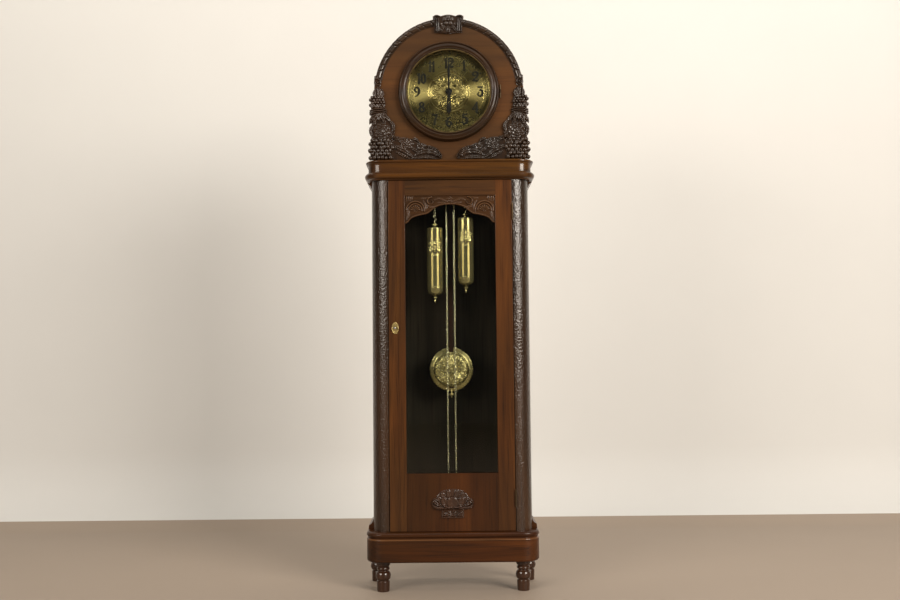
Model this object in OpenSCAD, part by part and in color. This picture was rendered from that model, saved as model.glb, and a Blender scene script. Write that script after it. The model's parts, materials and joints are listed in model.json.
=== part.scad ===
// Longcase (grandfather) clock with weight-driven going and striking trains.
// Frame: origin at the middle of the footprint, on the floor. +Z up, the dial faces -Y, +X is
// to the right of somebody who looks at the dial. Millimetres.

/* [Case] */
// Half width of the plinth and of the cornice
plinth_hw = 300; // [298:1:302]
// Half width of the trunk, over the sides
trunk_hw = 277.5; // [276:0.5:278]
// Depth of the whole clock, front of the plinth to the wall
case_depth = 260; // [260:1:262]
// Height of the plinth's lower edge over the floor
foot_h = 104; // [102:1:106]
// Height of the trunk's lower end, the top of the plinth moulding
trunk_z0 = 207; // [206:1:207]
// Height of the trunk's upper end, the underside of the cornice
trunk_z1 = 1430; // [1430:1:1431]
// Height of the top of the cornice
cornice_z1 = 1499; // [1498:1:1500]
// Radius of the rounded front corners of the trunk
column_r = 58; // [57:0.5:58]

/* [Hood] */
// Height of the centre of the dial and of the round top
dial_z = 1742; // [1741:0.5:1743]
// Radius of the round top of the hood's front board
arch_r = 263.5; // [262:0.5:264]
// Outer radius of the turned ring round the dial
bezel_r = 178; // [177:0.5:179]
// Radius of the dial that shows inside the brass rim
sight_r = 144.5; // [143:0.5:145]

/* [Door] */
// Half width of the trunk door
door_hw = 217; // [216.5:0.25:217]
// Width of a door stile
stile_w = 59; // [58:0.5:60]
// Thickness of the door frame
door_t = 22; // [21:0.5:22]
// Height of the door's top rail
top_rail_h = 55; // [53:1:57]
// Height of the door's lower panel
panel_h = 198.5; // [196:0.5:200]

/* [Pendulum and weights] */
// Height of the pendulum's bending axis, which is the pallet arbor's too
swing_z = 1794; // [1794:0.5:1794]
// Distance from the bending axis to the middle of the bob
pendulum_l = 1030; // [1026:1:1034]
// Radius of the bob
bob_r = 78; // [76:0.5:79]
// Radius of a weight
weight_r = 28.3; // [27:0.1:28.5]
// Height of a weight's tube
weight_h = 239; // [235:1:242]
// Height of the foot of the going weight's tube (right)
weight_z_time = 1061; // [1055:1:1065]
// Height of the foot of the striking weight's tube (left)
weight_z_strike = 1026; // [1020:1:1032]

/* [Trains] */
// Distance of each chain wheel from the middle
chain_x = 34; // [34:0.5:34.5]
// Radius at which the chain runs on its wheel
chain_r = 20.5; // [20.5:0.1:20.6]
// Teeth of the two great wheels
great_teeth = 80; // [80:1:80]
// Teeth of the centre wheel
centre_teeth = 64; // [64:1:64]
// Teeth of the escape wheel
escape_teeth = 30; // [30:1:30]

/* [Hidden] */
$fn = 64;
yb = case_depth/2;            // the wall side
yf = -yb;                     // front of plinth and cornice
trunk_yf = yf + 22.5;         // front tangent of the corner columns
door_yf = yf + 20;            // front face of the door
door_z0 = trunk_z0 + 1;
door_z1 = trunk_z1 - 2;
glass_hw = door_hw - stile_w;
glass_z0 = door_z0 + panel_h;
glass_z1 = door_z1 - top_rail_h;
board_yf = yf + 24;           // front face of the hood's front board
board_yb = board_yf + 20;
dial_yf = yf + 27;
// movement
plate_y1 = -84; plate_y2 = -81; plate_y3 = -25; plate_y4 = -22;
chain_y = -46;
chain_z = dial_z - 49;
piv = 1.5;                    // pivot radius
hole = 1.55;                  // pivot hole radius
// module of each mesh
m1 = 0.9; m2 = 0.8; m3 = 0.8; m4 = 0.7;
// arbor centres, each from the two it stands between, as [x, z]
C = [0, dial_z];
G = [chain_x, chain_z];
S = [-chain_x, chain_z];
E = [0, dial_z + 28];
A = [0, swing_z];
function third_pt(p, q, rp, rq, s) = let(d = norm(q - p), a = (rp*rp - rq*rq + d*d)/(2*d),
  h = sqrt(rp*rp - a*a), u = (q - p)/d) p + a*u + s*h*[-u[1], u[0]];
P = third_pt(C, G, (60 + 12)*m2/2, (great_teeth + 12)*m1/2, 1);
T = third_pt(C, E, (centre_teeth + 8)*m3/2, (60 + 8)*m4/2, -1);
W = S + (great_teeth + 10)*m1/2*[cos(100), sin(100)];
L = W + (60 + 8)*m2/2*[cos(60), sin(60)];
F = L + (56 + 7)*m4/2*[cos(120), sin(120)];
M = C + (12 + 36)*0.35*[cos(225), sin(225)];
function ang(a, b) = atan2(b[1] - a[1], b[0] - a[0]);

// ---------------------------------------------------------------- shared shapes
// arc of points about c, radius r, from angle a to b
function arc(c, r, a, b, n = 8) = [for (i = [0:n]) c + r*[cos(a + (b - a)*i/n), sin(a + (b - a)*i/n)]];
// extrusion along Y of a shape drawn in X and Z
module yext(y1, y2, c = [0, 0]) translate([c[0], y2, c[1]]) rotate([90, 0, 0]) linear_extrude(y2 - y1) children();
module ycyl(c, y1, y2, r) translate([c[0], y2, c[1]]) rotate([90, 0, 0]) cylinder(h = y2 - y1, r = r);
// revolution about a Y axis of a profile drawn as [radius, y]
module yrev(c, pts) translate([c[0], 0, c[1]]) rotate([-90, 0, 0]) rotate_extrude() polygon(pts);
// upper half only
module yrev_half(c, pts) translate([c[0], 0, c[1]]) rotate([-90, 0, 0]) rotate([0, 0, 180]) rotate_extrude(angle = 180) polygon(pts);
module bx(x1, x2, y1, y2, z1, z2) translate([x1, y1, z1]) cube([x2 - x1, y2 - y1, z2 - z1]);
module both() { children(); mirror([1, 0, 0]) children(); }
// moulding that runs round the front and both sides; profile drawn as [outwards, z],
// 0 is the outer face
module u_run(hw, front, back, r, pts) {
  translate([hw - r, front, 0]) rotate([90, 0, -90]) linear_extrude(2*(hw - r)) polygon(pts);
  both() {
    translate([hw, back, 0]) rotate([90, 0, 0]) linear_extrude(back - front - r) polygon(pts);
    translate([hw - r, front + r, 0]) rotate([0, 0, 270]) rotate_extrude(angle = 90)
      polygon([for (p = pts) [p[0] + r, p[1]]]);
  }
}
// gear outline: n teeth, pitch radius n*m/2, tooth half angle hw at the pitch circle
function gear(n, m, add, ded, hw, tip, ph) = let(r = n*m/2) [for (i = [0:n - 1], p = [
    [r - ded*m, -hw], [r, -hw], [r + 0.55*add*m, -hw*(0.45 + 0.4*tip)], [r + add*m, -hw*tip*0.5],
    [r + add*m, hw*tip*0.5], [r + 0.55*add*m, hw*(0.45 + 0.4*tip)], [r, hw], [r - ded*m, hw]])
    p[0]*[cos(ph + i*360/n + p[1]), sin(ph + i*360/n + p[1])]];
function wheel_pts(n, m, ph) = gear(n, m, 1.0, 1.35, 36/n, 0.5, ph);
function pinion_pts(n, m, ph) = gear(n, m, 0.45, 1.45, 30/n, 0.8, ph);
// crossed-out wheel: rim, four spokes and hub
module wheel2d(n, m, ph, rim, hub) difference() {
  polygon(wheel_pts(n, m, ph));
  let(ro = n*m/2 - 1.35*m - rim)
  for (q = [0:3]) let(b = q*90 + 45) polygon(concat(
    arc([0, 0], ro, b - 45 + asin(1.6/ro), b + 45 - asin(1.6/ro), 10),
    arc([0, 0], hub, b + 45 - asin(1.6/hub), b - 45 + asin(1.6/hub), 4)));
}
// arbor between the plates with a pivot in each
module arbor(c, r = 1.8) {
  ycyl(c, plate_y2 + 0.3, plate_y3 - 0.3, r);
  ycyl(c, plate_y1, plate_y4, piv);
}

// ---------------------------------------------------------------- case
foot_pts = [[0, 0], [20.5, 0], [21.4, 3], [22.3, 34], [21.6, 36.6], [18.6, 38], [18.6, 40], [21.6, 41.2], [24.4, 44],
  [26, 49], [26.5, 54.5], [26, 60], [24.4, 64.6], [21.6, 67.8], [18.4, 69.4], [17.8, 72], [20.4, 73.4],
  [22.4, 76], [22.8, 79], [22, 82], [19.4, 83.8], [19.4, 86], [22.4, 88.6], [24.6, 92], [25, 96], [25, foot_h], [0, foot_h]];
module feet() color([0.25, 0.15, 0.1]) both() {
  translate([243, yf + 54, 0]) rotate_extrude() polygon(foot_pts);
  translate([273, yb - 32, 0]) rotate_extrude() polygon(foot_pts);
}
module plinth_frame() color([0.27, 0.16, 0.1])
  u_run(plinth_hw - 1, yf + 1, yb, 60, concat([[-20, foot_h]], arc([-8, foot_h + 8], 8, -90, 0, 6), [[0, 178], [-20, 178]]));
module plinth_moulding() color([0.25, 0.15, 0.1]) {
  u_run(plinth_hw, yf, yb, 61, concat([[-38.5, 178], [-4, 178]], arc([-3, 181], 3, -90, 90, 4),
    [[-5, 184.5], [-5, 188]], arc([-9.5, 197.5], 9.5, -70, 90, 8), [[-38.5, trunk_z0]]));
  // cove between the top of the plinth and each side of the trunk
  both() translate([0, yb, 0]) rotate([90, 0, 0]) linear_extrude(yb - trunk_yf - column_r - 2) polygon(concat(
    [[trunk_hw + 0.2, trunk_z0]], [[trunk_hw + 18, trunk_z0]],
    arc([trunk_hw + 24, trunk_z0 + 36], 24 - 2, 250, 180, 6), [[trunk_hw + 0.2, trunk_z0 + 36]]));
}
module case_floor() color([0.35, 0.24, 0.16]) translate([0, 0, foot_h + 1]) linear_extrude(12)
  polygon(concat(arc([-239, yf + 61], 39, 180, 270, 6), arc([239, yf + 61], 39, 270, 360, 6), [[278, yb - 0.5], [-278, yb - 0.5]]));
module trunk_sides() color([0.27, 0.16, 0.1]) both()
  bx(trunk_hw - 16, trunk_hw, trunk_yf + column_r, yb, trunk_z0, trunk_z1);
module corner_columns() color([0.3, 0.18, 0.11]) difference() {
  both() intersection() {
    translate([trunk_hw - column_r, trunk_yf + column_r, trunk_z0]) cylinder(h = trunk_z1 - trunk_z0, r = column_r);
    bx(trunk_hw - column_r, trunk_hw + 1, trunk_yf - 1, trunk_yf + column_r, trunk_z0, trunk_z1);
  }
  // pocket for the bolt of the door lock, in the left column
  bx(-trunk_hw + column_r - 9, -trunk_hw + column_r + 1, -87.5, -78.5, 916, 928.5);
}
module back_panel() color([0.33, 0.23, 0.16]) difference() {
  union() {
    bx(-trunk_hw + 16, trunk_hw - 16, yb - 10, yb, foot_h + 13, trunk_z1);
    bx(-plinth_hw + 21.2, plinth_hw - 21.2, yb - 10, yb, foot_h + 13, 177.9);
    bx(-arch_r + 16.3, arch_r - 16.3, yb - 10, yb, trunk_z1, cornice_z1);
    bx(-246.5, 246.5, yb - 10, yb, cornice_z1, dial_z);
    yrev_half([0, dial_z], [[0, yb - 10], [246.5, yb - 10], [246.5, yb], [0, yb]]);
  }
  // clear of the ends of the plinth moulding
  both() bx(plinth_hw - 38.6, plinth_hw, yb - 11, yb + 1, 177.9, trunk_z0 + 0.1);
  for (x = [-150, 150]) ycyl([x, 1380], yb - 11, yb + 1, 3);
}
cornice_in = arch_r - 16 - plinth_hw;   // inner faces in line with the hood shell's
cornice_pts = concat([[cornice_in, trunk_z1], [-16, trunk_z1], [-13, trunk_z1 + 3]], arc([-11.5, trunk_z1 + 15], 11.5, -80, 80, 8),
  [[-11, trunk_z1 + 27], [-11, trunk_z1 + 29], [-12.6, trunk_z1 + 30.5]], arc([-1.6, trunk_z1 + 52], 11, 180, 130, 6),
  [[-7, trunk_z1 + 61]], arc([-7, trunk_z1 + 64], 3.4, -90, 60, 4), [[-9, cornice_z1], [cornice_in, cornice_z1]]);
module cornice() color([0.32, 0.2, 0.11]) {
  u_run(plinth_hw, yf, yb, 62, cornice_pts);
  both() translate([0, yb, 0]) rotate([90, 0, 0]) linear_extrude(yb - trunk_yf - column_r - 2) polygon(concat(
    [[trunk_hw + 0.2, trunk_z1]], [[trunk_hw + 0.2, trunk_z1 - 21]],
    arc([trunk_hw + 20, trunk_z1 - 21], 18, 180, 110, 6), [[trunk_hw + 15, trunk_z1]]));
}
module seat_board() color([0.4, 0.3, 0.2]) difference() {
  union() {
    bx(-arch_r + 16, arch_r - 16, yf + 44, -2, 1612, 1628);
    both() bx(arch_r - 32, arch_r - 16, yf + 63, -2, trunk_z1 + 5, 1612);
  }
  for (s = [-1, 1]) for (d = [-chain_r, chain_r])
    bx(s*chain_x + d - 7, s*chain_x + d + 7, chain_y - 7, chain_y + 7, 1611, 1629);
}

// ---------------------------------------------------------------- hood
module hood_front() color([0.26, 0.16, 0.1]) difference() {
  union() {
    bx(-arch_r, arch_r, board_yf, board_yb, cornice_z1, dial_z);
    yrev_half([0, dial_z], [[0, board_yf], [arch_r, board_yf], [arch_r, board_yb], [0, board_yb]]);
  }
  ycyl([0, dial_z], board_yf - 1, board_yb + 1, 152);
  // let-in leaf of the bezel's hinge
  bx(158.8, 184, board_yf - 1, board_yf + 1.2, dial_z - 22.2, dial_z + 22.2);
}
module hood_shell() color([0.28, 0.18, 0.11]) {
  both() bx(arch_r - 16, arch_r - 6, board_yb, yb, cornice_z1, dial_z);
  yrev_half([0, dial_z], [[arch_r - 16, board_yb], [arch_r - 6, board_yb], [arch_r - 6, yb], [arch_r - 16, yb]]);
}
module arch_moulding() color([0.3, 0.19, 0.12]) {
  translate([0, 0, dial_z]) rotate([-90, 0, 0]) rotate([0, 0, 186]) rotate_extrude(angle = 168)
    polygon([[240, board_yf], [240, board_yf - 4], [244, board_yf - 8], [258, board_yf - 10], [264, board_yf - 6], [264, board_yf]]);
  // scroll block at each end
  both() bx(240, 261.5, board_yf - 9, board_yf, dial_z + 2, dial_z + 25);
}
module crest_block() color([0.24, 0.15, 0.1]) yext(yf + 2, board_yf - 10.2, [0, 0])
  polygon([[-52, 2004], [-46, 1966], [-30, 1952], [-12, 1958], [0, 1950], [12, 1958], [30, 1952], [46, 1966], [52, 2004], [40, 2013], [14, 2018], [-14, 2018], [-40, 2013]]);
module hood_carvings() color([0.2, 0.13, 0.09]) both() yext(board_yf - 18, board_yf - 0.1, [0, 0])
  polygon([[258, 1502], [262, 1502], [279, 1530], [283, 1560], [280, 1600], [283, 1650], [280, 1668], [284, 1690], [281, 1712], [276, 1757],
    [268, 1760], [262, 1735], [256, 1690], [244, 1650], [226, 1632], [204, 1606], [186, 1585], [188, 1560], [150, 1560],
    [104, 1545], [60, 1530], [26, 1520], [24, 1504], [60, 1502]]);

// ---------------------------------------------------------------- dial and movement frame
module dial_plate() color([0.62, 0.5, 0.26]) {
  difference() {
    ycyl(C, dial_yf, dial_yf + 2.5, 150);
    ycyl(C, dial_yf - 1, dial_yf + 4, 6);
  }
  // four feet, riveted to the dial and pinned to the movement
  for (x = [-54, 54], z = [1690, 1794]) ycyl([x, z], dial_yf + 2.5, plate_y1, 3);
}
module plate(y1, y2, bores) difference() {
  bx(-62, 62, y1, y2, 1628, 1815);
  for (c = bores) ycyl(c, y1 - 1, y2 + 1, hole);
}
module movement_front_plate() color([0.75, 0.62, 0.32]) {
  difference() {
    plate(plate_y1, plate_y2, [G, S, P, T, E, A, W, L, F]);
    ycyl(C, plate_y1 - 1, plate_y2 + 1, 3.55);
  }
  // stud of the minute wheel
  ycyl(M, -95, plate_y1, 1.5);
}
module movement_back_plate() color([0.75, 0.62, 0.32]) {
  plate(plate_y3, plate_y4, [C, G, S, P, T, E, A, W, L, F]);
  // four pillars, riveted to this plate
  for (q = [[-42, 1637], [42, 1637], [-54, 1805], [54, 1805]]) {
    ycyl(q, plate_y2, plate_y3, 4);
    ycyl(q, plate_y2 + 24, plate_y3 - 24, 5.5);
  }
}
module suspension_bracket() color([0.72, 0.6, 0.32]) difference() {
  union() {
    bx(-14, 14, plate_y4, -17, 1798, 1816);
    bx(-14, 14, -17, 20, 1802, 1812);
  }
  bx(-9, 9, 9.5, 12.5, 1797, 1811);
}
module suspension_spring() color([0.7, 0.72, 0.75]) {
  bx(-6, 6, 10.7, 11.3, 1776, 1808);
  bx(-7.5, 7.5, 8.5, 13.5, 1768, 1776);
}
module gong() {
  color([0.2, 0.2, 0.2]) {
    bx(52, 96, yb - 22, yb - 10, 1520, 1650);
    bx(58, 72, yb - 50, yb - 22, 1551, 1569);
    // bracket that carries the hammer's pivot
    bx(80, 92, yb - 46, yb - 22, 1634, 1646);
    ycyl([86, 1640], yb - 60, yb - 46, 2);
  }
  // wire coil: half turns about two centres 6 apart
  color([0.35, 0.38, 0.5]) translate([0, yb - 36, 1560]) rotate([90, 0, 0]) {
    for (i = [0:5]) rotate([0, 0, 180*(i % 2)]) translate([i % 2 == 0 ? 0 : -6, 0, 0])
      rotate_extrude(angle = 180) translate([28 + 6*i, 0]) circle(r = 1.6, $fn = 16);
  }
}

// ---------------------------------------------------------------- chains and weights
// one chain as a plain run: down to the weight outside, round the top of the wheel, down inside
module chain(s, z_load, z_free) color([0.7, 0.6, 0.35]) {
  r = 2.3;
  translate([s*(chain_x + chain_r), chain_y, z_load]) cylinder(h = chain_z - z_load, r = r, $fn = 24);
  translate([s*(chain_x - chain_r), chain_y, z_free]) cylinder(h = chain_z - z_free, r = r, $fn = 24);
  translate([s*chain_x, chain_y, chain_z]) rotate([90, 0, 0]) rotate_extrude(angle = 180)
    translate([chain_r, 0]) circle(r = r, $fn = 24);
}
hook_h = 66;
module time_chain() chain(1, weight_z_time + weight_h + hook_h, 354);
module strike_chain() chain(-1, weight_z_strike + weight_h + hook_h, 389);
// the tube's foot is a bowl 28 high with a turned drop under it; a knob and a hook stand on the cap
module weight(x, z) color([0.72, 0.58, 0.28]) translate([x, chain_y, z]) rotate_extrude() polygon(concat(
  [[0, -27], [2.2, -26], [3.2, -22], [2.6, -17], [2.2, -13], [7, -11], [8.2, -9], [7, -7], [3.4, -5], [4, -2], [11, 0]],
  arc([weight_r - 18, 18], 17.2, -75, -4, 6), [[weight_r - 0.2, 27], [weight_r, 28], [weight_r, weight_h], [weight_r - 2, weight_h + 2],
  [22, weight_h + 3], [9, weight_h + 5], [5, weight_h + 9], [5, weight_h + 12], [9.6, weight_h + 14], [10.4, weight_h + 15.5],
  [9.6, weight_h + 17], [4, weight_h + 19], [2.2, weight_h + 23], [2.2, weight_h + 58], [4.6, weight_h + 60],
  [4.6, weight_h + hook_h - 2], [3, weight_h + hook_h - 0.4], [0, weight_h + hook_h - 0.4]]));
module time_weight() weight(chain_x + chain_r, weight_z_time);
module strike_weight() weight(-chain_x - chain_r, weight_z_strike);
module pull_ring(x, z) color([0.7, 0.6, 0.35]) translate([x, chain_y, z]) {
  rotate([90, 0, 0]) rotate_extrude() translate([7, 0]) circle(r = 1.4, $fn = 16);
  translate([0, 0, 6.5]) cylinder(h = 5.3, r = 1.4, $fn = 24);
}
module time_chain_ring() pull_ring(chain_x - chain_r, 342);
module strike_chain_ring() pull_ring(-chain_x + chain_r, 377);
module chain_wheel(c) color([0.75, 0.62, 0.32]) difference() {
  union() {
    ycyl(c, chain_y - 3, chain_y + 3, 17.6);
    ycyl(c, chain_y + 3, chain_y + 5, 12);
    // ratchet
    yext(chain_y + 5, chain_y + 8, c) polygon([for (i = [0:23]) for (q = [[11, 0], [13.5, 1]])
      q[0]*[cos(15*i + q[1]), sin(15*i + q[1])]]);
  }
  ycyl(c, chain_y - 4, chain_y + 9, 2.55);
}
module time_chain_wheel() chain_wheel(G);
module strike_chain_wheel() chain_wheel(S);

// ---------------------------------------------------------------- wheels of the trains
module time_great_wheel() color([0.78, 0.65, 0.33]) {
  yext(-33, -30, G) wheel2d(great_teeth, m1, ang(G, P), 3.5, 7);
  ycyl(G, plate_y2 + 0.3, plate_y3 - 0.3, 2.5);
  ycyl(G, plate_y1, plate_y4, piv);
}
module intermediate_wheel() color([0.78, 0.65, 0.33]) {
  yext(-60, -58, P) wheel2d(60, m2, ang(P, C), 2.5, 5);
  yext(-34.5, -28.5, P) polygon(pinion_pts(12, m1, ang(P, G) + 15));
  arbor(P, 1.5);
}
module centre_wheel() color([0.78, 0.65, 0.33]) {
  yext(-76, -74, C) wheel2d(centre_teeth, m3, ang(C, T), 2.5, 5);
  yext(-61.5, -56.5, C) polygon(pinion_pts(12, m2, ang(C, P) + 15));
  ycyl(C, -113.5, plate_y3 - 0.3, 2);
  ycyl(C, plate_y3 - 0.3, plate_y4, piv);
  // cannon pipe and its pinion
  ycyl(C, -111.4, plate_y2 + 0.3, 3.5);
  yext(-90, -87, C) polygon(pinion_pts(12, 0.7, ang(C, M) + 15));
}
module third_wheel() color([0.78, 0.65, 0.33]) {
  yext(-53, -51.5, T) wheel2d(60, m4, ang(T, E), 2.2, 4.5);
  yext(-77.5, -72.5, T) polygon(pinion_pts(8, m3, ang(T, C) + 22.5));
  arbor(T, 1.5);
}
module escape_wheel() color([0.8, 0.67, 0.35]) {
  yext(-36, -34.5, E) difference() {
    polygon([for (i = [0:escape_teeth - 1]) for (q = [[13.2, -4.4], [17, -0.4], [17, 0.4], [13.2, 1.6]])
      q[0]*[cos(12*i + q[1]), sin(12*i + q[1])]]);
    for (q = [0:3]) polygon(concat(arc([0, 0], 11.2, q*90 + 8, q*90 + 82, 8), arc([0, 0], 4, q*90 + 68, q*90 + 22, 3)));
  }
  yext(-54.5, -50, E) polygon(pinion_pts(8, m4, ang(E, T) + 22.5));
  arbor(E, 1.1 + 0.4);
}
module hour_wheel() color([0.78, 0.65, 0.33]) difference() {
  union() {
    yext(-94, -92, C) wheel2d(40, 0.672, ang(C, M), 2, 7);
    ycyl(C, -109.2, -91.5, 5);
  }
  ycyl(C, -110, -91, 3.55);
}
module minute_wheel() color([0.78, 0.65, 0.33]) difference() {
  union() {
    yext(-89.5, -87.5, M) wheel2d(36, 0.7, ang(M, C), 2, 4.5);
    yext(-94.5, -89.5, M) polygon(pinion_pts(10, 0.672, ang(M, C) + 18));
  }
  ycyl(M, -95, -87, 1.55);
}
module strike_great_wheel() color([0.78, 0.65, 0.33]) {
  yext(-64, -61, S) wheel2d(great_teeth, m1, ang(S, W), 3.5, 7);
  ycyl(S, plate_y2 + 0.3, plate_y3 - 0.3, 2.5);
  ycyl(S, plate_y1, plate_y4, piv);
}
module pin_wheel() color([0.78, 0.65, 0.33]) {
  yext(-40, -38, W) wheel2d(60, m2, ang(W, L), 3.5, 5);
  yext(-65.5, -59.5, W) polygon(pinion_pts(10, m1, ang(W, S) + 18));
  // lifting pins
  for (i = [0:7]) ycyl(W + 19.5*[cos(45*i), sin(45*i)], -38, -35.5, 1);
  arbor(W, 1.5);
}
module locking_wheel() color([0.78, 0.65, 0.33]) {
  yext(-72, -70.5, L) wheel2d(56, m4, ang(L, F), 2.2, 4.5);
  yext(-41.5, -36.5, L) polygon(pinion_pts(8, m2, ang(L, W) + 22.5));
  arbor(L, 1.5);
}
// two-bladed air brake of the striking train
module fly() color([0.8, 0.67, 0.35]) {
  yext(-73.5, -69, F) polygon(pinion_pts(7, m4, ang(F, L) + 180/7));
  yext(-57, -45, F) rotate(35) translate([-13, -0.4]) square([26, 0.8]);
  ycyl(F, -57, -45, 2.2);
  arbor(F, 1.5);
}
module strike_hammer() color([0.72, 0.6, 0.32]) difference() {
  union() {
    ycyl([86, 1640], 72, 83, 6);
    bx(84.4, 87.6, 75, 79, 1562, 1638);
    translate([75.5, 84, 1560]) rotate([0, 90, 0]) cylinder(h = 21, r = 8);
  }
  ycyl([86, 1640], 71, 84, 2.05);
}
module pallet_anchor() color([0.6, 0.62, 0.65]) {
  yext(-37.5, -33, A) difference() {
    polygon([[-4, 5], [4, 5], [15, -5], [19.5, -14], [16.6, -15.4], [11.5, -8], [0, -2.5], [-11.5, -8], [-16.6, -15.4], [-19.5, -14], [-15, -5]]);
  }
  ycyl(A, plate_y2 + 0.3, plate_y3 - 0.3, 2);
  ycyl(A, plate_y1, -12, piv);
  // crutch and its fork round the pendulum rod
  bx(-2, 2, -15, -12, 1682, swing_z + 4);
  bx(-11.5, 11.5, -15, -12, 1676, 1682);
  both() bx(8.7, 11.5, -12, 14, 1676, 1682);
}
module pendulum_rod() color([0.42, 0.26, 0.15]) {
  bx(-8, 8, 6, 16, swing_z - pendulum_l - 66, 1768);
  translate([0, 11, swing_z - pendulum_l - 100]) cylinder(h = 36, r = 2);
  // rating nut under the bob
  translate([0, 11, swing_z - pendulum_l - 92]) cylinder(h = 7, r = 8.5);
}
module pendulum_bob() color([0.75, 0.6, 0.3]) difference() {
  yrev([0, swing_z - pendulum_l], concat([[0, -3], [20, -2.4], [45, 0.5], [58, 3.6], [62, 6]], [[62, 15.5], [66, 16.5]],
    [[75, 18], [bob_r, 21], [bob_r, 24], [74, 27], [50, 29], [0, 30]]));
  bx(-8.1, 8.1, 5.9, 16.1, swing_z - pendulum_l - 90, swing_z - pendulum_l + 90);
}

// ---------------------------------------------------------------- hands
module minute_hand() color([0.1, 0.09, 0.08]) {
  difference() {
    yext(-112.9, -111.5, C) polygon([[-7, 0], [-6, -7], [-2.2, -11], [-2.4, -30], [0, -34], [2.4, -30], [2.2, -11], [6, -7], [7, 0],
      [4.6, 8], [2.6, 16], [3, 60], [5, 74], [2.6, 90], [1.2, 104], [0.5, 122], [-0.5, 122], [-1.2, 104], [-2.6, 90], [-5, 74], [-3, 60], [-2.6, 16], [-4.6, 8]]);
    ycyl(C, -120, -100, 2);
  }
  // collet nut
  difference() {
    ycyl(C, -115.4, -112.9, 4.5);
    ycyl(C, -113.5, -112, 2);
  }
}
module hour_hand() color([0.1, 0.09, 0.08]) difference() {
  yext(-109.2, -107.8, C) difference() {
    polygon(concat(arc([0, 0], 12, -50, 230, 28), [[-5, -15], [-4.8, -22], [-6.4, -33], [-5.6, -42], [-4.2, -47], [-7, -52],
      [-8.8, -59], [-8.2, -66], [-5, -73], [-0.7, -79.5], [0.7, -79.5], [5, -73], [8.2, -66], [8.8, -59], [7, -52],
      [4.2, -47], [5.6, -42], [6.4, -33], [4.8, -22], [5, -15]]));
    // pierced shank
    polygon([[0, -17], [1.9, -22], [3.2, -32], [2.4, -40], [0, -44], [-2.4, -40], [-3.2, -32], [-1.9, -22]]);
  }
  ycyl(C, -111, -106, 5);
}

// ---------------------------------------------------------------- bezel door
bz = [bezel_r + 3.4, -109.2];   // its hinge axis, as [x, y]
module bezel_ring() color([0.36, 0.23, 0.14]) difference() {
  yrev(C, [[149.2, -112.2], [149.2, -124.4], [151, -126.4], [153.4, -126.8], [155, -125.6], [155.6, -124], [157, -124], [158.4, -126.6],
    [161, -128.2], [164, -128.2], [166.6, -126.4], [168, -123.6], [168.6, -121], [170.4, -121], [172.4, -119.8], [174.4, -117.4],
    [175, -115], [176.6, -115], [bezel_r, -113.4], [bezel_r, -108], [176.6, -106.3], [153, -106.3], [153, -112.2]]);
  bx(158, 190, bz[1] - 0.65, bz[1] + 0.65, dial_z - 22.5, dial_z + 22.5);
}
module bezel_glass() color([0.8, 0.9, 0.9, 0.3]) ycyl(C, -118.7, -116, 148.9);
module bezel_rim() color([0.8, 0.66, 0.34]) yrev(C, [[sight_r, -118.8], [sight_r, -122], [sight_r + 1.5, -124], [149, -124], [149, -118.8]]);
module bezel_hinge_leaves() color([0.5, 0.4, 0.25]) difference() {
  union() {
    bx(159, bz[0], bz[1] - 0.6, bz[1] + 0.6, dial_z - 22, dial_z + 22);
    translate([bz[0], bz[1], dial_z - 7.4]) cylinder(h = 14.8, r = 2.8, $fn = 32);
  }
  for (d = [-23, 7.6]) translate([bz[0], bz[1], dial_z + d]) cylinder(h = 15.4, r = 3.3, $fn = 32);
  translate([bz[0], bz[1], dial_z - 26]) cylinder(h = 52, r = 1.35, $fn = 32);
}
// fixed halves of both doors' hinges, with their pins
dh = [door_hw + 1.25, door_yf - 3.4];
door_hinge_z = [320, 1315];
module hinge_fixed_leaves() color([0.5, 0.4, 0.25]) {
  // bezel: leaf let into the front board
  bx(159, bz[0] + 2.4, board_yf + 0.05, board_yf + 1.15, dial_z - 22, dial_z + 22);
  for (d = [-22, 7.8]) {
    translate([bz[0], bz[1], dial_z + d]) cylinder(h = 14.2, r = 2.8, $fn = 32);
    bx(bz[0] - 0.6, bz[0] + 0.6, bz[1], board_yf + 0.6, dial_z + d, dial_z + d + 14.2);
  }
  translate([bz[0], bz[1], dial_z - 23.5]) cylinder(h = 47, r = 1.3, $fn = 32);
  for (z = door_hinge_z) {
    bx(door_hw + 1.4, door_hw + 2.5, dh[1] + 3.2, -90, z - 28, z + 28);
    for (d = [-28, 9.6]) {
      translate([dh[0], dh[1], z + d]) cylinder(h = 18.4, r = 2.8, $fn = 32);
      bx(door_hw + 1.4, door_hw + 2.5, dh[1], dh[1] + 3.4, z + d, z + d + 18.4);
    }
    translate([dh[0], dh[1], z - 30.5]) cylinder(h = 61, r = 1.4, $fn = 32);
  }
}

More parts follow.
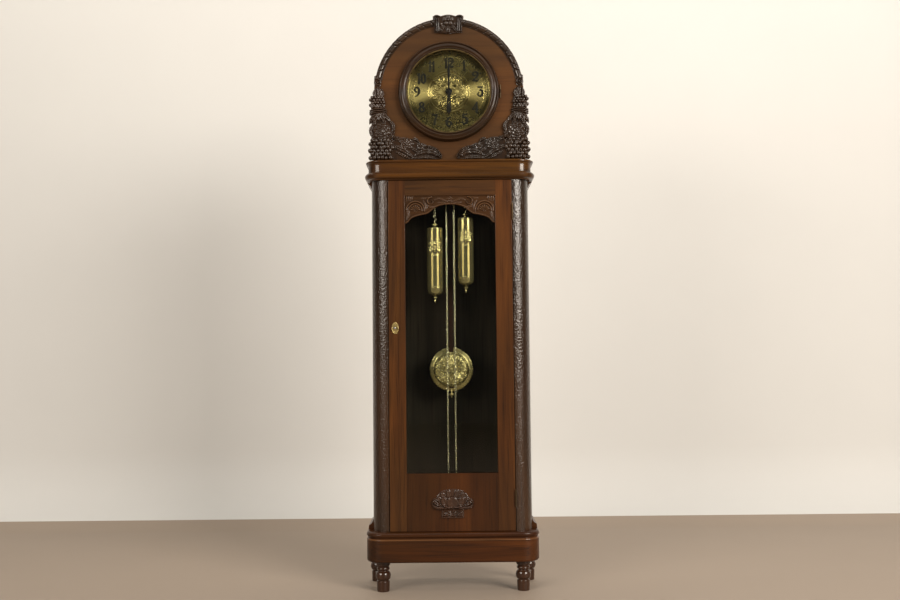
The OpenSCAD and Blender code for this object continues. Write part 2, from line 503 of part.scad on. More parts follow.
// ---------------------------------------------------------------- trunk door
module rebate() bx(-glass_hw - 8, glass_hw + 8, -97.1, -87, glass_z0 - 8, glass_z1 + 8);
module door_frame() color([0.33, 0.2, 0.12]) difference() {
  union() {
    both() bx(glass_hw, door_hw, door_yf, door_yf + door_t, door_z0, door_z1);
    bx(-glass_hw, glass_hw, door_yf, door_yf + door_t, glass_z1, door_z1);
  }
  rebate();
  // key hole, through the left stile
  ycyl([-194.5, 910], door_yf - 1, door_yf + door_t + 1, 2.6);
}
module door_bottom_panel() color([0.34, 0.2, 0.12]) difference() {
  bx(-glass_hw, glass_hw, door_yf, door_yf + door_t, door_z0, glass_z0);
  rebate();
}
module door_glass() color([0.8, 0.9, 0.9, 0.3]) bx(-glass_hw - 7, glass_hw + 7, -97, -94, glass_z0 - 7, glass_z1 + 7);
module door_valance() color([0.28, 0.19, 0.13]) both() yext(-108.5, -97.5)
  polygon([[0, glass_z1 - 0.2], [glass_hw - 0.2, glass_z1 - 0.2], [glass_hw - 0.2, 1277], [150, 1278], [141, 1290], [128, 1298], [113, 1303],
    [96, 1307], [82, 1309], [68, 1319], [56, 1329], [44, 1337], [22, 1341], [0, 1343]]);
module door_applique() color([0.28, 0.17, 0.1]) yext(door_yf - 9, door_yf - 0.05)
  polygon([[-34, 254], [34, 254], [40, 268], [36, 284], [58, 286], [70, 300], [66, 322], [48, 336], [26, 350], [0, 354],
    [-26, 350], [-48, 336], [-66, 322], [-70, 300], [-58, 286], [-36, 284], [-40, 268]]);
module door_hinge_leaves() color([0.5, 0.4, 0.25]) for (z = door_hinge_z) difference() {
  union() {
    bx(door_hw + 0.02, door_hw + 1.1, dh[1] + 3.2, -90, z - 28, z + 28);
    bx(door_hw + 0.02, door_hw + 1.1, dh[1], dh[1] + 3.4, z - 9.2, z + 9.2);
    translate([dh[0], dh[1], z - 9.2]) cylinder(h = 18.4, r = 2.8, $fn = 32);
  }
  translate([dh[0], dh[1], z - 12]) cylinder(h = 24, r = 1.45, $fn = 32);
}
module lock_case() color([0.5, 0.45, 0.35]) difference() {
  bx(-door_hw + 0.5, -door_hw + 42, -87.95, -77, 885, 942);
  bx(-door_hw - 1, -door_hw + 34, -86.2, -79.8, 917.5, 927);
  ycyl([-194.5, 910], -86.2, -79.8, 9);
  bx(-200, -190, -86.2, -79.8, 910, 918);
  ycyl([-194.5, 910], -89, -76, 2.6);
}
module lock_bolt() color([0.7, 0.6, 0.35]) bx(-door_hw + 0.4, -door_hw + 26, -85.8, -80.2, 918, 926.5);
module escutcheon() color([0.75, 0.62, 0.33]) difference() {
  yext(door_yf - 2, door_yf - 0.05) polygon([for (a = [0:10:350]) [-194.5 + 12*cos(a), 910 + 20*sin(a)]]);
  ycyl([-194.5, 910], door_yf - 3, door_yf + 1, 2.6);
}
module door_key() color([0.72, 0.7, 0.66]) {
  ycyl([-194.5, 910], -118.6, -76.5, 2.2);
  ycyl([-194.5, 910], -115, -113, 3.4);
  // bit
  bx(-201.5, -195, -85.5, -80.5, 909, 911);
  // bow
  translate([-194.5, -123.4, 910]) rotate_extrude() translate([5, 0]) circle(r = 1.5, $fn = 24);
}

feet();
plinth_frame();
plinth_moulding();
case_floor();
trunk_sides();
corner_columns();
back_panel();
cornice();
seat_board();
hood_front();
hood_shell();
arch_moulding();
crest_block();
hood_carvings();
dial_plate();
movement_front_plate();
movement_back_plate();
suspension_bracket();
gong();
time_chain();
strike_chain();
hinge_fixed_leaves();
door_frame();
door_bottom_panel();
door_glass();
door_valance();
door_applique();
door_hinge_leaves();
lock_case();
escutcheon();
lock_bolt();
door_key();
bezel_ring();
bezel_glass();
bezel_rim();
bezel_hinge_leaves();
minute_hand();
centre_wheel();
hour_hand();
hour_wheel();
minute_wheel();
time_great_wheel();
intermediate_wheel();
third_wheel();
escape_wheel();
pallet_anchor();
suspension_spring();
pendulum_rod();
pendulum_bob();
time_chain_wheel();
strike_chain_wheel();
time_weight();
strike_weight();
time_chain_ring();
strike_chain_ring();
strike_great_wheel();
pin_wheel();
locking_wheel();
fly();
strike_hammer();
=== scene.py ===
import json
import math
import bpy
import bmesh
import numpy as np
from mathutils import Matrix, Vector

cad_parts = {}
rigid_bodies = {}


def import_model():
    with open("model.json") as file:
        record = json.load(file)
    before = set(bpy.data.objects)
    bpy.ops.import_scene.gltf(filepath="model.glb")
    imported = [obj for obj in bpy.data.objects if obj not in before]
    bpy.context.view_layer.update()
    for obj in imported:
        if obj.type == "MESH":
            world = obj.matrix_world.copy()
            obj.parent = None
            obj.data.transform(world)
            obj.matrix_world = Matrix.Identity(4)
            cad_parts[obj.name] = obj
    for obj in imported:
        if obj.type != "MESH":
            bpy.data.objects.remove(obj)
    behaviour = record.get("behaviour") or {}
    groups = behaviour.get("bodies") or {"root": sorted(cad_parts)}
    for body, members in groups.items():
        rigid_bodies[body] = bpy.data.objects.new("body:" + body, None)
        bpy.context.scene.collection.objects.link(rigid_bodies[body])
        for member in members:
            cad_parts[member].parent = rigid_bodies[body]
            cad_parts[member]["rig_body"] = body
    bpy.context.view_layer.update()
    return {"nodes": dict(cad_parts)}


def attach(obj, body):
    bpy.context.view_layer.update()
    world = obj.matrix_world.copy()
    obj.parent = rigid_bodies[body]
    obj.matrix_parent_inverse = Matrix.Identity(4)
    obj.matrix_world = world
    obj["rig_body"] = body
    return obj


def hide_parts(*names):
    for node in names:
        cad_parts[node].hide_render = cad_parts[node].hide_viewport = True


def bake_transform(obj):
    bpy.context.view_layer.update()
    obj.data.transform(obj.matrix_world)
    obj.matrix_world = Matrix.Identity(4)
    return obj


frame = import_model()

BODY = {n: o["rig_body"] for n, o in frame["nodes"].items()}
RNG = np.random.default_rng(7)

# ------------------------------------------------------------------ camera
PITCH, ROLL = math.radians(3.1), math.radians(0.544)
fwd = Vector((0, math.cos(PITCH), math.sin(PITCH)))
right0 = Vector((1, 0, 0))
up0 = right0.cross(fwd)
right = math.cos(ROLL) * right0 - math.sin(ROLL) * up0
up = math.sin(ROLL) * right0 + math.cos(ROLL) * up0
cam_data = bpy.data.cameras.new("camera")
cam = bpy.data.objects.new("camera", cam_data)
bpy.context.scene.collection.objects.link(cam)
cam.matrix_world = Matrix((
    (right.x, up.x, -fwd.x, -0.00265),
    (right.y, up.y, -fwd.y, -3.73),
    (right.z, up.z, -fwd.z, 0.8102),
    (0, 0, 0, 1)))
cam_data.sensor_width = 36.0
cam_data.lens = 41.6
cam_data.clip_start, cam_data.clip_end = 0.05, 60
bpy.context.scene.camera = cam
bpy.context.scene.view_settings.view_transform = "Standard"
bpy.context.scene.view_settings.look = "None"

# ------------------------------------------------------------------ nodes and materials
class NT:
    """Small helper to build a material's node tree."""
    def __init__(self, name):
        self.m = bpy.data.materials.new(name)
        self.m.use_nodes = True
        self.t = self.m.node_tree
        self.t.nodes.clear()
        self.out = self.n("ShaderNodeOutputMaterial")
    def n(self, kind, **k):
        node = self.t.nodes.new(kind)
        for a, v in k.items():
            setattr(node, a, v)
        return node
    def link(self, a, b):
        self.t.links.new(a, b)
        return b
    def set(self, node, **vals):
        for a, v in vals.items():
            node.inputs[a.replace("_", " ")].default_value = v
        return node
    def coords(self, scale, rot=(0, 0, 0), loc=(0, 0, 0)):
        tc = self.n("ShaderNodeTexCoord")
        mp = self.n("ShaderNodeMapping")
        mp.inputs["Scale"].default_value = scale
        mp.inputs["Rotation"].default_value = rot
        mp.inputs["Location"].default_value = loc
        self.link(tc.outputs["Object"], mp.inputs["Vector"])
        return mp.outputs["Vector"]
    def noise(self, vec, scale=1.0, detail=3.0, rough=0.55, dist=0.0):
        nz = self.n("ShaderNodeTexNoise")
        self.link(vec, nz.inputs["Vector"])
        nz.inputs["Scale"].default_value = scale
        nz.inputs["Detail"].default_value = detail
        nz.inputs["Roughness"].default_value = rough
        nz.inputs["Distortion"].default_value = dist
        return nz.outputs["Fac"]
    def ramp(self, fac, stops, interp="LINEAR"):
        r = self.n("ShaderNodeValToRGB")
        r.color_ramp.interpolation = interp
        el = r.color_ramp.elements
        while len(el) > 1:
            el.remove(el[-1])
        el[0].position, el[0].color = stops[0][0], (*stops[0][1], 1)
        for p, c in stops[1:]:
            e = el.new(p)
            e.color = (*c, 1)
        self.link(fac, r.inputs["Fac"])
        return r.outputs["Color"]
    def frange(self, fac, a, b, c, d):
        r = self.n("ShaderNodeMapRange")
        for i, v in enumerate((a, b, c, d)):
            r.inputs[1 + i].default_value = v
        self.link(fac, r.inputs[0])
        return r.outputs[0]
    def mix(self, fac, a, b, mode="MIX"):
        x = self.n("ShaderNodeMix", data_type="RGBA", blend_type=mode)
        if isinstance(fac, (int, float)):
            x.inputs[0].default_value = fac
        else:
            self.link(fac, x.inputs[0])
        for s, v in ((6, a), (7, b)):
            if isinstance(v, tuple):
                x.inputs[s].default_value = (*v, 1)
            else:
                self.link(v, x.inputs[s])
        return x.outputs[2]
    def math(self, op, a, b=None):
        x = self.n("ShaderNodeMath", operation=op)
        for i, v in enumerate((a, b)):
            if v is None:
                continue
            if isinstance(v, (int, float)):
                x.inputs[i].default_value = v
            else:
                self.link(v, x.inputs[i])
        return x.outputs[0]
    def bump(self, height, strength, dist, normal=None):
        b = self.n("ShaderNodeBump")
        b.inputs["Strength"].default_value = strength
        b.inputs["Distance"].default_value = dist
        self.link(height, b.inputs["Height"])
        if normal is not None:
            self.link(normal, b.inputs["Normal"])
        return b.outputs["Normal"]
    def principled(self, **vals):
        p = self.n("ShaderNodeBsdfPrincipled")
        self.set(p, **vals)
        self.link(p.outputs[0], self.out.inputs["Surface"])
        return p


def wood(name, grain, dark, light, pore=(0.010, 0.005, 0.003), rough=0.36, coat=0.2, coat_rough=0.15,
         shade=1.0, figure=1.0, seed=0.0, paint_relief_light=False, streak=1.0, peel_scale=55, peel_bump=0.12, edge_highlight_amt=0.3, spec=0.14,
         peel_deep=0.0012, edge_highlight_at=(0.53, 0.66)):
    """Stained and varnished wood. grain is the axis that the fibres run along. With the relief option on, convex edges
    get a painted highlight and hollows a painted shade.
    """
    w = NT(name)
    def sc(across, along):
        return tuple(along if a == grain else across for a in "XYZ")
    loc = (seed, seed * 1.7, seed * 0.6)
    broad = w.noise(w.coords(sc(15, 1.0), loc=loc), 1.0, 4, 0.6, 0.9 * figure)
    fine = w.noise(w.coords(sc(170, 4.5), loc=loc), 1.0, 3, 0.6, 0.3)
    patch = w.noise(w.coords(sc(4.5, 1.6), loc=loc), 1.0, 3, 0.5, 0.5)
    tone = w.ramp(broad, [(0.28, dark), (0.5, tuple((a + b) / 2 for a, b in zip(dark, light))), (0.72, light)])
    tone = w.mix(w.frange(fine, 0.52, 0.74, 0.0, 0.75 * streak), tone, pore)
    tone = w.mix(w.frange(patch, 0.3, 0.7, 0.0, 1.0), w.mix(1.0, tone, (0.72 * shade, 0.76 * shade, 0.8 * shade), "MULTIPLY"),
                 w.mix(1.0, tone, (1.22 * shade, 1.05 * shade, 0.95 * shade), "MULTIPLY"))
    rgh = w.frange(broad, 0.25, 0.75, rough + 0.07, rough - 0.06)
    peel = w.noise(w.coords((1, 1, 1), loc=loc), peel_scale, 2, 0.5)
    grainy = w.bump(fine, 0.25, 0.0004)
    p = w.principled(Roughness=rough, Coat_Weight=coat, Coat_Roughness=coat_rough)
    p.inputs["IOR"].default_value = 1.5
    p.inputs["Specular IOR Level"].default_value = spec
    p.inputs["Coat IOR"].default_value = 1.5
    if paint_relief_light:
        geo = w.n("ShaderNodeNewGeometry")
        # painted highlight: convex carved edges (high Pointiness) are mixed towards a much lighter wood colour
        edge = w.frange(geo.outputs["Pointiness"], edge_highlight_at[0], edge_highlight_at[1], 0.0, edge_highlight_amt)
        tone = w.mix(edge, tone, tuple(min(1, c * 2.6 + 0.01) for c in light))
        # painted shade: hollows (low Pointiness) are mixed towards near-black
        painted_pit_shade = w.frange(geo.outputs["Pointiness"], 0.38, 0.49, 0.85, 0.0)
        tone = w.mix(painted_pit_shade, tone, (0.004, 0.0025, 0.002))
    w.link(tone, p.inputs["Base Color"])
    w.link(rgh, p.inputs["Roughness"])
    w.link(w.bump(peel, peel_bump, peel_deep, grainy), p.inputs["Normal"])
    w.link(w.bump(peel, peel_bump * 0.8, peel_deep), p.inputs["Coat Normal"])
    return w.m


def brass(name, col, rough=0.25, tarnish=(0.12, 0.08, 0.03), amount=0.5, scale=60, bump=0.15, aniso=0.0, radial=None, turn=0.0, metal=1.0, vary=(0.8, 1.7)):
    w = NT(name)
    v = w.coords((1, 1, 1))
    a = w.noise(v, scale, 5, 0.6, 0.4)
    b = w.noise(v, scale * 9, 3, 0.6)
    tone = w.mix(w.frange(a, 0.45, 0.8, 0.0, amount), col, tarnish)
    p = w.principled(Metallic=metal, Roughness=rough)
    w.link(tone, p.inputs["Base Color"])
    w.link(w.frange(a, 0.3, 0.8, rough * vary[0], min(0.9, rough * vary[1])), p.inputs["Roughness"])
    w.link(w.bump(b, bump, 0.0002), p.inputs["Normal"])
    if aniso:
        p.inputs["Anisotropic"].default_value = aniso
        p.inputs["Anisotropic Rotation"].default_value = turn
        tg = w.n("ShaderNodeTangent", direction_type="RADIAL", axis=radial)
        w.link(tg.outputs[0], p.inputs["Tangent"])
    return w.m


def glass(name):
    """Thin clear pane that lets lamps through."""
    w = NT(name)
    p = w.n("ShaderNodeBsdfPrincipled")
    w.set(p, Base_Color=(0.96, 0.99, 0.97, 1), Roughness=0.02, Transmission_Weight=1.0)
    p.inputs["IOR"].default_value = 1.36
    tr = w.n("ShaderNodeBsdfTransparent")
    tr.inputs[0].default_value = (0.93, 0.96, 0.94, 1)
    lp = w.n("ShaderNodeLightPath")
    mx = w.n("ShaderNodeMixShader")
    w.link(w.math("MAXIMUM", lp.outputs["Is Shadow Ray"], w.math("MAXIMUM", lp.outputs["Is Diffuse Ray"], lp.outputs["Is Glossy Ray"])), mx.inputs[0])
    w.link(p.outputs[0], mx.inputs[1])
    w.link(tr.outputs[0], mx.inputs[2])
    w.link(mx.outputs[0], w.out.inputs["Surface"])
    return w.m


def plain(name, col, rough, var=0.25, scale=40, metal=0.0, bump=0.1, coat=0.0, spec=0.5):
    w = NT(name)
    a = w.noise(w.coords((1, 1, 1)), scale, 4, 0.6)
    p = w.principled(Metallic=metal, Roughness=rough, Coat_Weight=coat)
    p.inputs["Specular IOR Level"].default_value = spec
    w.link(w.mix(w.frange(a, 0.3, 0.7, 0.0, 1.0), tuple(c * (1 - var) for c in col), tuple(min(1, c * (1 + var)) for c in col)), p.inputs["Base Color"])
    w.link(w.frange(a, 0.3, 0.7, rough * 0.85, min(1, rough * 1.2)), p.inputs["Roughness"])
    w.link(w.bump(a, bump, 0.0003), p.inputs["Normal"])
    return w.m


DK, LT = (0.030, 0.0105, 0.0034), (0.105, 0.038, 0.0105)
M = {
    "wood_v": wood("wood_v", "Z", DK, LT),
    "wood_door": wood("wood_door", "Z", (0.038, 0.0142, 0.0046), (0.117, 0.0465, 0.0124), seed=3.1),
    "wood_h": wood("wood_h", "X", (0.026, 0.0085, 0.0024), (0.088, 0.030, 0.0068), seed=1.7),
    "wood_gold": wood("wood_gold", "X", (0.024, 0.0090, 0.0018), (0.102, 0.042, 0.0064), seed=5.2, coat=0.45, coat_rough=0.1),
    "wood_col": wood("wood_col", "Z", (0.0165, 0.0078, 0.0028), (0.045, 0.0208, 0.0074), seed=8.3, coat=0.95, coat_rough=0.16, peel_scale=165, peel_bump=1.0, peel_deep=0.0020),
    "wood_hood": wood("wood_hood", "X", (0.051, 0.0226, 0.0077), (0.095, 0.0440, 0.0145), seed=2.3, figure=0.5, coat=0.4, streak=0.45),
    "wood_rail": wood("wood_rail", "X", (0.028, 0.0125, 0.0047), (0.088, 0.040, 0.0130), seed=3.9),
    "wood_panel": wood("wood_panel", "Z", (0.032, 0.0112, 0.0034), (0.072, 0.0262, 0.0074), seed=10.4, figure=0.7),
    "wood_shell": wood("wood_shell", "Y", (0.034, 0.0130, 0.0050), (0.096, 0.036, 0.0130), seed=2.9),
    "wood_carved": wood("wood_carved", "Z", (0.014, 0.0078, 0.0042), (0.038, 0.0205, 0.0100), seed=4.4, paint_relief_light=True, rough=0.28, coat=0.8, coat_rough=0.09, streak=0.4, spec=0.2, edge_highlight_amt=0.45),
    "wood_arch": wood("wood_arch", "Z", (0.0128, 0.0075, 0.0038), (0.036, 0.0200, 0.0095), seed=14.4, paint_relief_light=True, rough=0.3, coat=0.8, coat_rough=0.2, streak=0.4, edge_highlight_amt=0.45),
    "wood_basket": wood("wood_basket", "Z", (0.016, 0.0076, 0.0040), (0.044, 0.0200, 0.0098), seed=15.4, paint_relief_light=True, rough=0.28, coat=0.8, coat_rough=0.08, streak=0.4, spec=0.3, edge_highlight_amt=0.65, edge_highlight_at=(0.52, 0.60)),
    "wood_valance": wood("wood_valance", "X", (0.021, 0.0105, 0.0046), (0.060, 0.0280, 0.0104), seed=6.4, paint_relief_light=True, rough=0.32, coat=0.25, streak=0.5, edge_highlight_amt=0.7, edge_highlight_at=(0.508, 0.57)),
    "wood_turned": wood("wood_turned", "Z", (0.021, 0.0095, 0.0048), (0.058, 0.026, 0.0122), seed=9.1, coat=0.6, coat_rough=0.12),
    "wood_bezel": wood("wood_bezel", "X", (0.0145, 0.0066, 0.0024), (0.042, 0.0193, 0.0063), seed=7.1, coat=0.17, coat_rough=0.10, spec=0.12, peel_bump=0.05),
    # lighter wood for the plinth's bead: a painted highlight line standing in for the bead's highlight
    "wood_painted_highlight_line": wood("wood_painted_highlight_line", "X", (0.070, 0.0300, 0.0105), (0.165, 0.074, 0.0270), seed=6.9, coat=0.5),
    # near-black inside wood: painted shade for the dark inside of the case; the same boards are lighter outside
    "wood_inner_painted_shade": wood("wood_inner_painted_shade", "Z", (0.0137, 0.0112, 0.0075), (0.031, 0.0250, 0.0165), seed=11.0, rough=0.6, coat=0.0, spec=0.1),
    "wood_back": wood("wood_back", "Z", (0.050, 0.026, 0.014), (0.125, 0.068, 0.036), seed=12.0, rough=0.6, coat=0.0),
    "wood_rod": wood("wood_rod", "Z", (0.009, 0.0045, 0.0025), (0.022, 0.010, 0.005), seed=13.0, rough=0.35, coat=0.3),
    "dial": brass("dial_brass", (0.255, 0.195, 0.074), 0.26, (0.13, 0.102, 0.042), 0.35, 26, 0.06, aniso=0.95, radial="Y", turn=0.25, vary=(0.97, 1.18)),
    "rim": brass("rim_brass", (0.20, 0.145, 0.062), 0.3, (0.07, 0.05, 0.025), 0.6, 60, 0.15),
    "brass": brass("polished_brass", (0.66, 0.53, 0.20), 0.17, (0.24, 0.17, 0.06), 0.5, 45, 0.1),
    "brass_weight": brass("weight_brass", (0.36, 0.302, 0.140), 0.085, (0.2, 0.15, 0.06), 0.45, 35, 0.05, metal=0.8),
    "brass_bob": brass("bob_brass", (0.37, 0.313, 0.137), 0.24, (0.2, 0.14, 0.05), 0.5, 50, 0.1),
    "brass_worn": brass("worn_brass", (0.46, 0.36, 0.15), 0.33, (0.13, 0.085, 0.035), 0.6, 70, 0.2),
    "brass_move": brass("movement_brass", (0.70, 0.53, 0.22), 0.27, (0.32, 0.22, 0.08), 0.4, 90, 0.15),
    "brass_chain": brass("chain_brass", (0.84, 0.77, 0.52), 0.2, (0.40, 0.32, 0.18), 0.4, 200, 0.1),
    "brass_hinge": brass("hinge_brass", (0.08, 0.055, 0.031), 0.42, (0.04, 0.027, 0.017), 0.7, 120, 0.25),
    "hinge_dark": brass("dark_hinge", (0.045, 0.030, 0.018), 0.5, (0.03, 0.02, 0.012), 0.7, 120, 0.25),
    "steel": brass("steel", (0.55, 0.56, 0.58), 0.25, (0.25, 0.24, 0.23), 0.35, 80, 0.1),
    "gong": brass("gong_steel", (0.10, 0.11, 0.15), 0.35, (0.05, 0.045, 0.05), 0.5, 80, 0.1),
    "black": plain("hand_black", (0.010, 0.008, 0.007), 0.4, spec=0.2),
    "ink": plain("dial_ink", (0.012, 0.010, 0.006), 0.6, spec=0.15),
    "glass": glass("clear_glass"),
}

# ------------------------------------------------------------------ mesh helpers
COL = bpy.context.scene.collection

def obj(name, V, F, mat, body, smooth=True, auto=None):
    """V in millimetres. F is a list of index lists or an int array."""
    me = bpy.data.meshes.new(name)
    V = np.asarray(V, float) / 1000.0
    me.from_pydata(V.tolist(), [], F.tolist() if isinstance(F, np.ndarray) else F)
    me.validate()
    me.update()
    if smooth:
        me.polygons.foreach_set("use_smooth", [True] * len(me.polygons))
    if auto is not None:
        sharp_by_angle(me, auto)
    o = bpy.data.objects.new(name, me)
    COL.objects.link(o)
    me.materials.append(M[mat] if isinstance(mat, str) else mat)
    if body:
        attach(o, body)
    return o

def sharp_by_angle(me, deg):
    bm = bmesh.new()
    bm.from_mesh(me)
    lim = math.radians(deg)
    for e in bm.edges:
        if len(e.link_faces) == 2 and e.calc_face_angle(0) > lim:
            e.smooth = False
    bm.to_mesh(me)
    bm.free()

def join(parts):
    """Joins (V, F) pairs; F lists may hold different lengths."""
    V, F, k = [], [], 0
    for v, f in parts:
        v = np.asarray(v, float)
        V.append(v)
        F.extend([[int(i) + k for i in q] for q in f])
        k += len(v)
    return np.concatenate(V), F

def revolve(profile, n, centre, axis="Z", closed=False):
    """profile [(r, h)] about an axis through centre; returns V, F. Ends at r = 0 close by themselves."""
    pr = np.asarray(profile, float)
    a = np.linspace(0, 2 * math.pi, n, endpoint=False)
    V = []
    for r, h in pr:
        c, s = r * np.cos(a), r * np.sin(a)
        if axis == "Z":
            V.append(np.stack([c, s, np.full(n, h)], 1))
        else:            # about Y, h is y
            V.append(np.stack([c, np.full(n, h), s], 1))
    V = np.concatenate(V) + np.asarray(centre, float)
    F = []
    m = len(pr)
    for i in range(m - 1 + (1 if closed else 0)):
        i2 = (i + 1) % m
        for j in range(n):
            j2 = (j + 1) % n
            q = [i * n + j, i * n + j2, i2 * n + j2, i2 * n + j]
            F.append(q)
    return V, F

def clean(V, F, dist=1e-4, flip=False):
    """Merges doubles and makes normals consistent."""
    bm = bmesh.new()
    vs = [bm.verts.new(v) for v in np.asarray(V, float)]
    for f in F:
        try:
            bm.faces.new([vs[i] for i in f])
        except ValueError:
            pass
    bmesh.ops.remove_doubles(bm, verts=bm.verts, dist=dist)
    bmesh.ops.dissolve_degenerate(bm, dist=1e-5, edges=bm.edges)
    bmesh.ops.recalc_face_normals(bm, faces=bm.faces)
    bm.verts.index_update()
    V2 = np.array([v.co[:] for v in bm.verts])
    F2 = [[v.index for v in f.verts] for f in bm.faces]
    bm.free()
    return V2, F2

def tube(pts, r, n=8, closed=False, caps=True):
    """Sweeps a round section along points; r may be a number or one per point."""
    P = np.asarray(pts, float)
    m = len(P)
    R = np.full(m, r, float) if np.isscalar(r) else np.asarray(r, float)
    if closed:
        T = np.roll(P, -1, 0) - np.roll(P, 1, 0)
    else:
        T = np.gradient(P, axis=0)
    T /= np.linalg.norm(T, axis=1)[:, None] + 1e-12
    ref = np.array([0, 1.0, 0]) if abs(T[0][1]) < 0.9 else np.array([1.0, 0, 0])
    u = np.cross(T[0], ref); u /= np.linalg.norm(u)
    V = []
    a = np.linspace(0, 2 * math.pi, n, endpoint=False)
    for i in range(m):
        u = u - T[i] * (u @ T[i]); u /= np.linalg.norm(u)
        v = np.cross(T[i], u)
        V.append(P[i] + R[i] * (np.cos(a)[:, None] * u + np.sin(a)[:, None] * v))
    V = np.concatenate(V)
    F = []
    for i in range(m if closed else m - 1):
        i2 = (i + 1) % m
        for j in range(n):
            j2 = (j + 1) % n
            F.append([i * n + j, i * n + j2, i2 * n + j2, i2 * n + j])
    if not closed and caps:
        F.append([j for j in range(n)][::-1])
        F.append([(m - 1) * n + j for j in range(n)])
    return V, F

def spline(ctrl, n, closed=False):
    """Catmull-Rom through the control rows (any number of columns)."""
    P = np.asarray(ctrl, float)
    k = len(P)
    segs = k if closed else k - 1
    t = np.linspace(0, segs, n, endpoint=not closed)
    out = []
    for x in t:
        i = min(int(x), segs - 1)
        f = x - i
        if closed:
            p0, p1, p2, p3 = P[(i - 1) % k], P[i % k], P[(i + 1) % k], P[(i + 2) % k]
        else:
            p1, p2 = P[i], P[i + 1]
            p0 = P[i - 1] if i > 0 else 2 * p1 - p2
            p3 = P[i + 2] if i + 2 < k else 2 * p2 - p1
        out.append(0.5 * (2 * p1 + (p2 - p0) * f + (2 * p0 - 5 * p1 + 4 * p2 - p3) * f * f + (3 * p1 - p0 - 3 * p2 + p3) * f ** 3))
    return np.array(out)

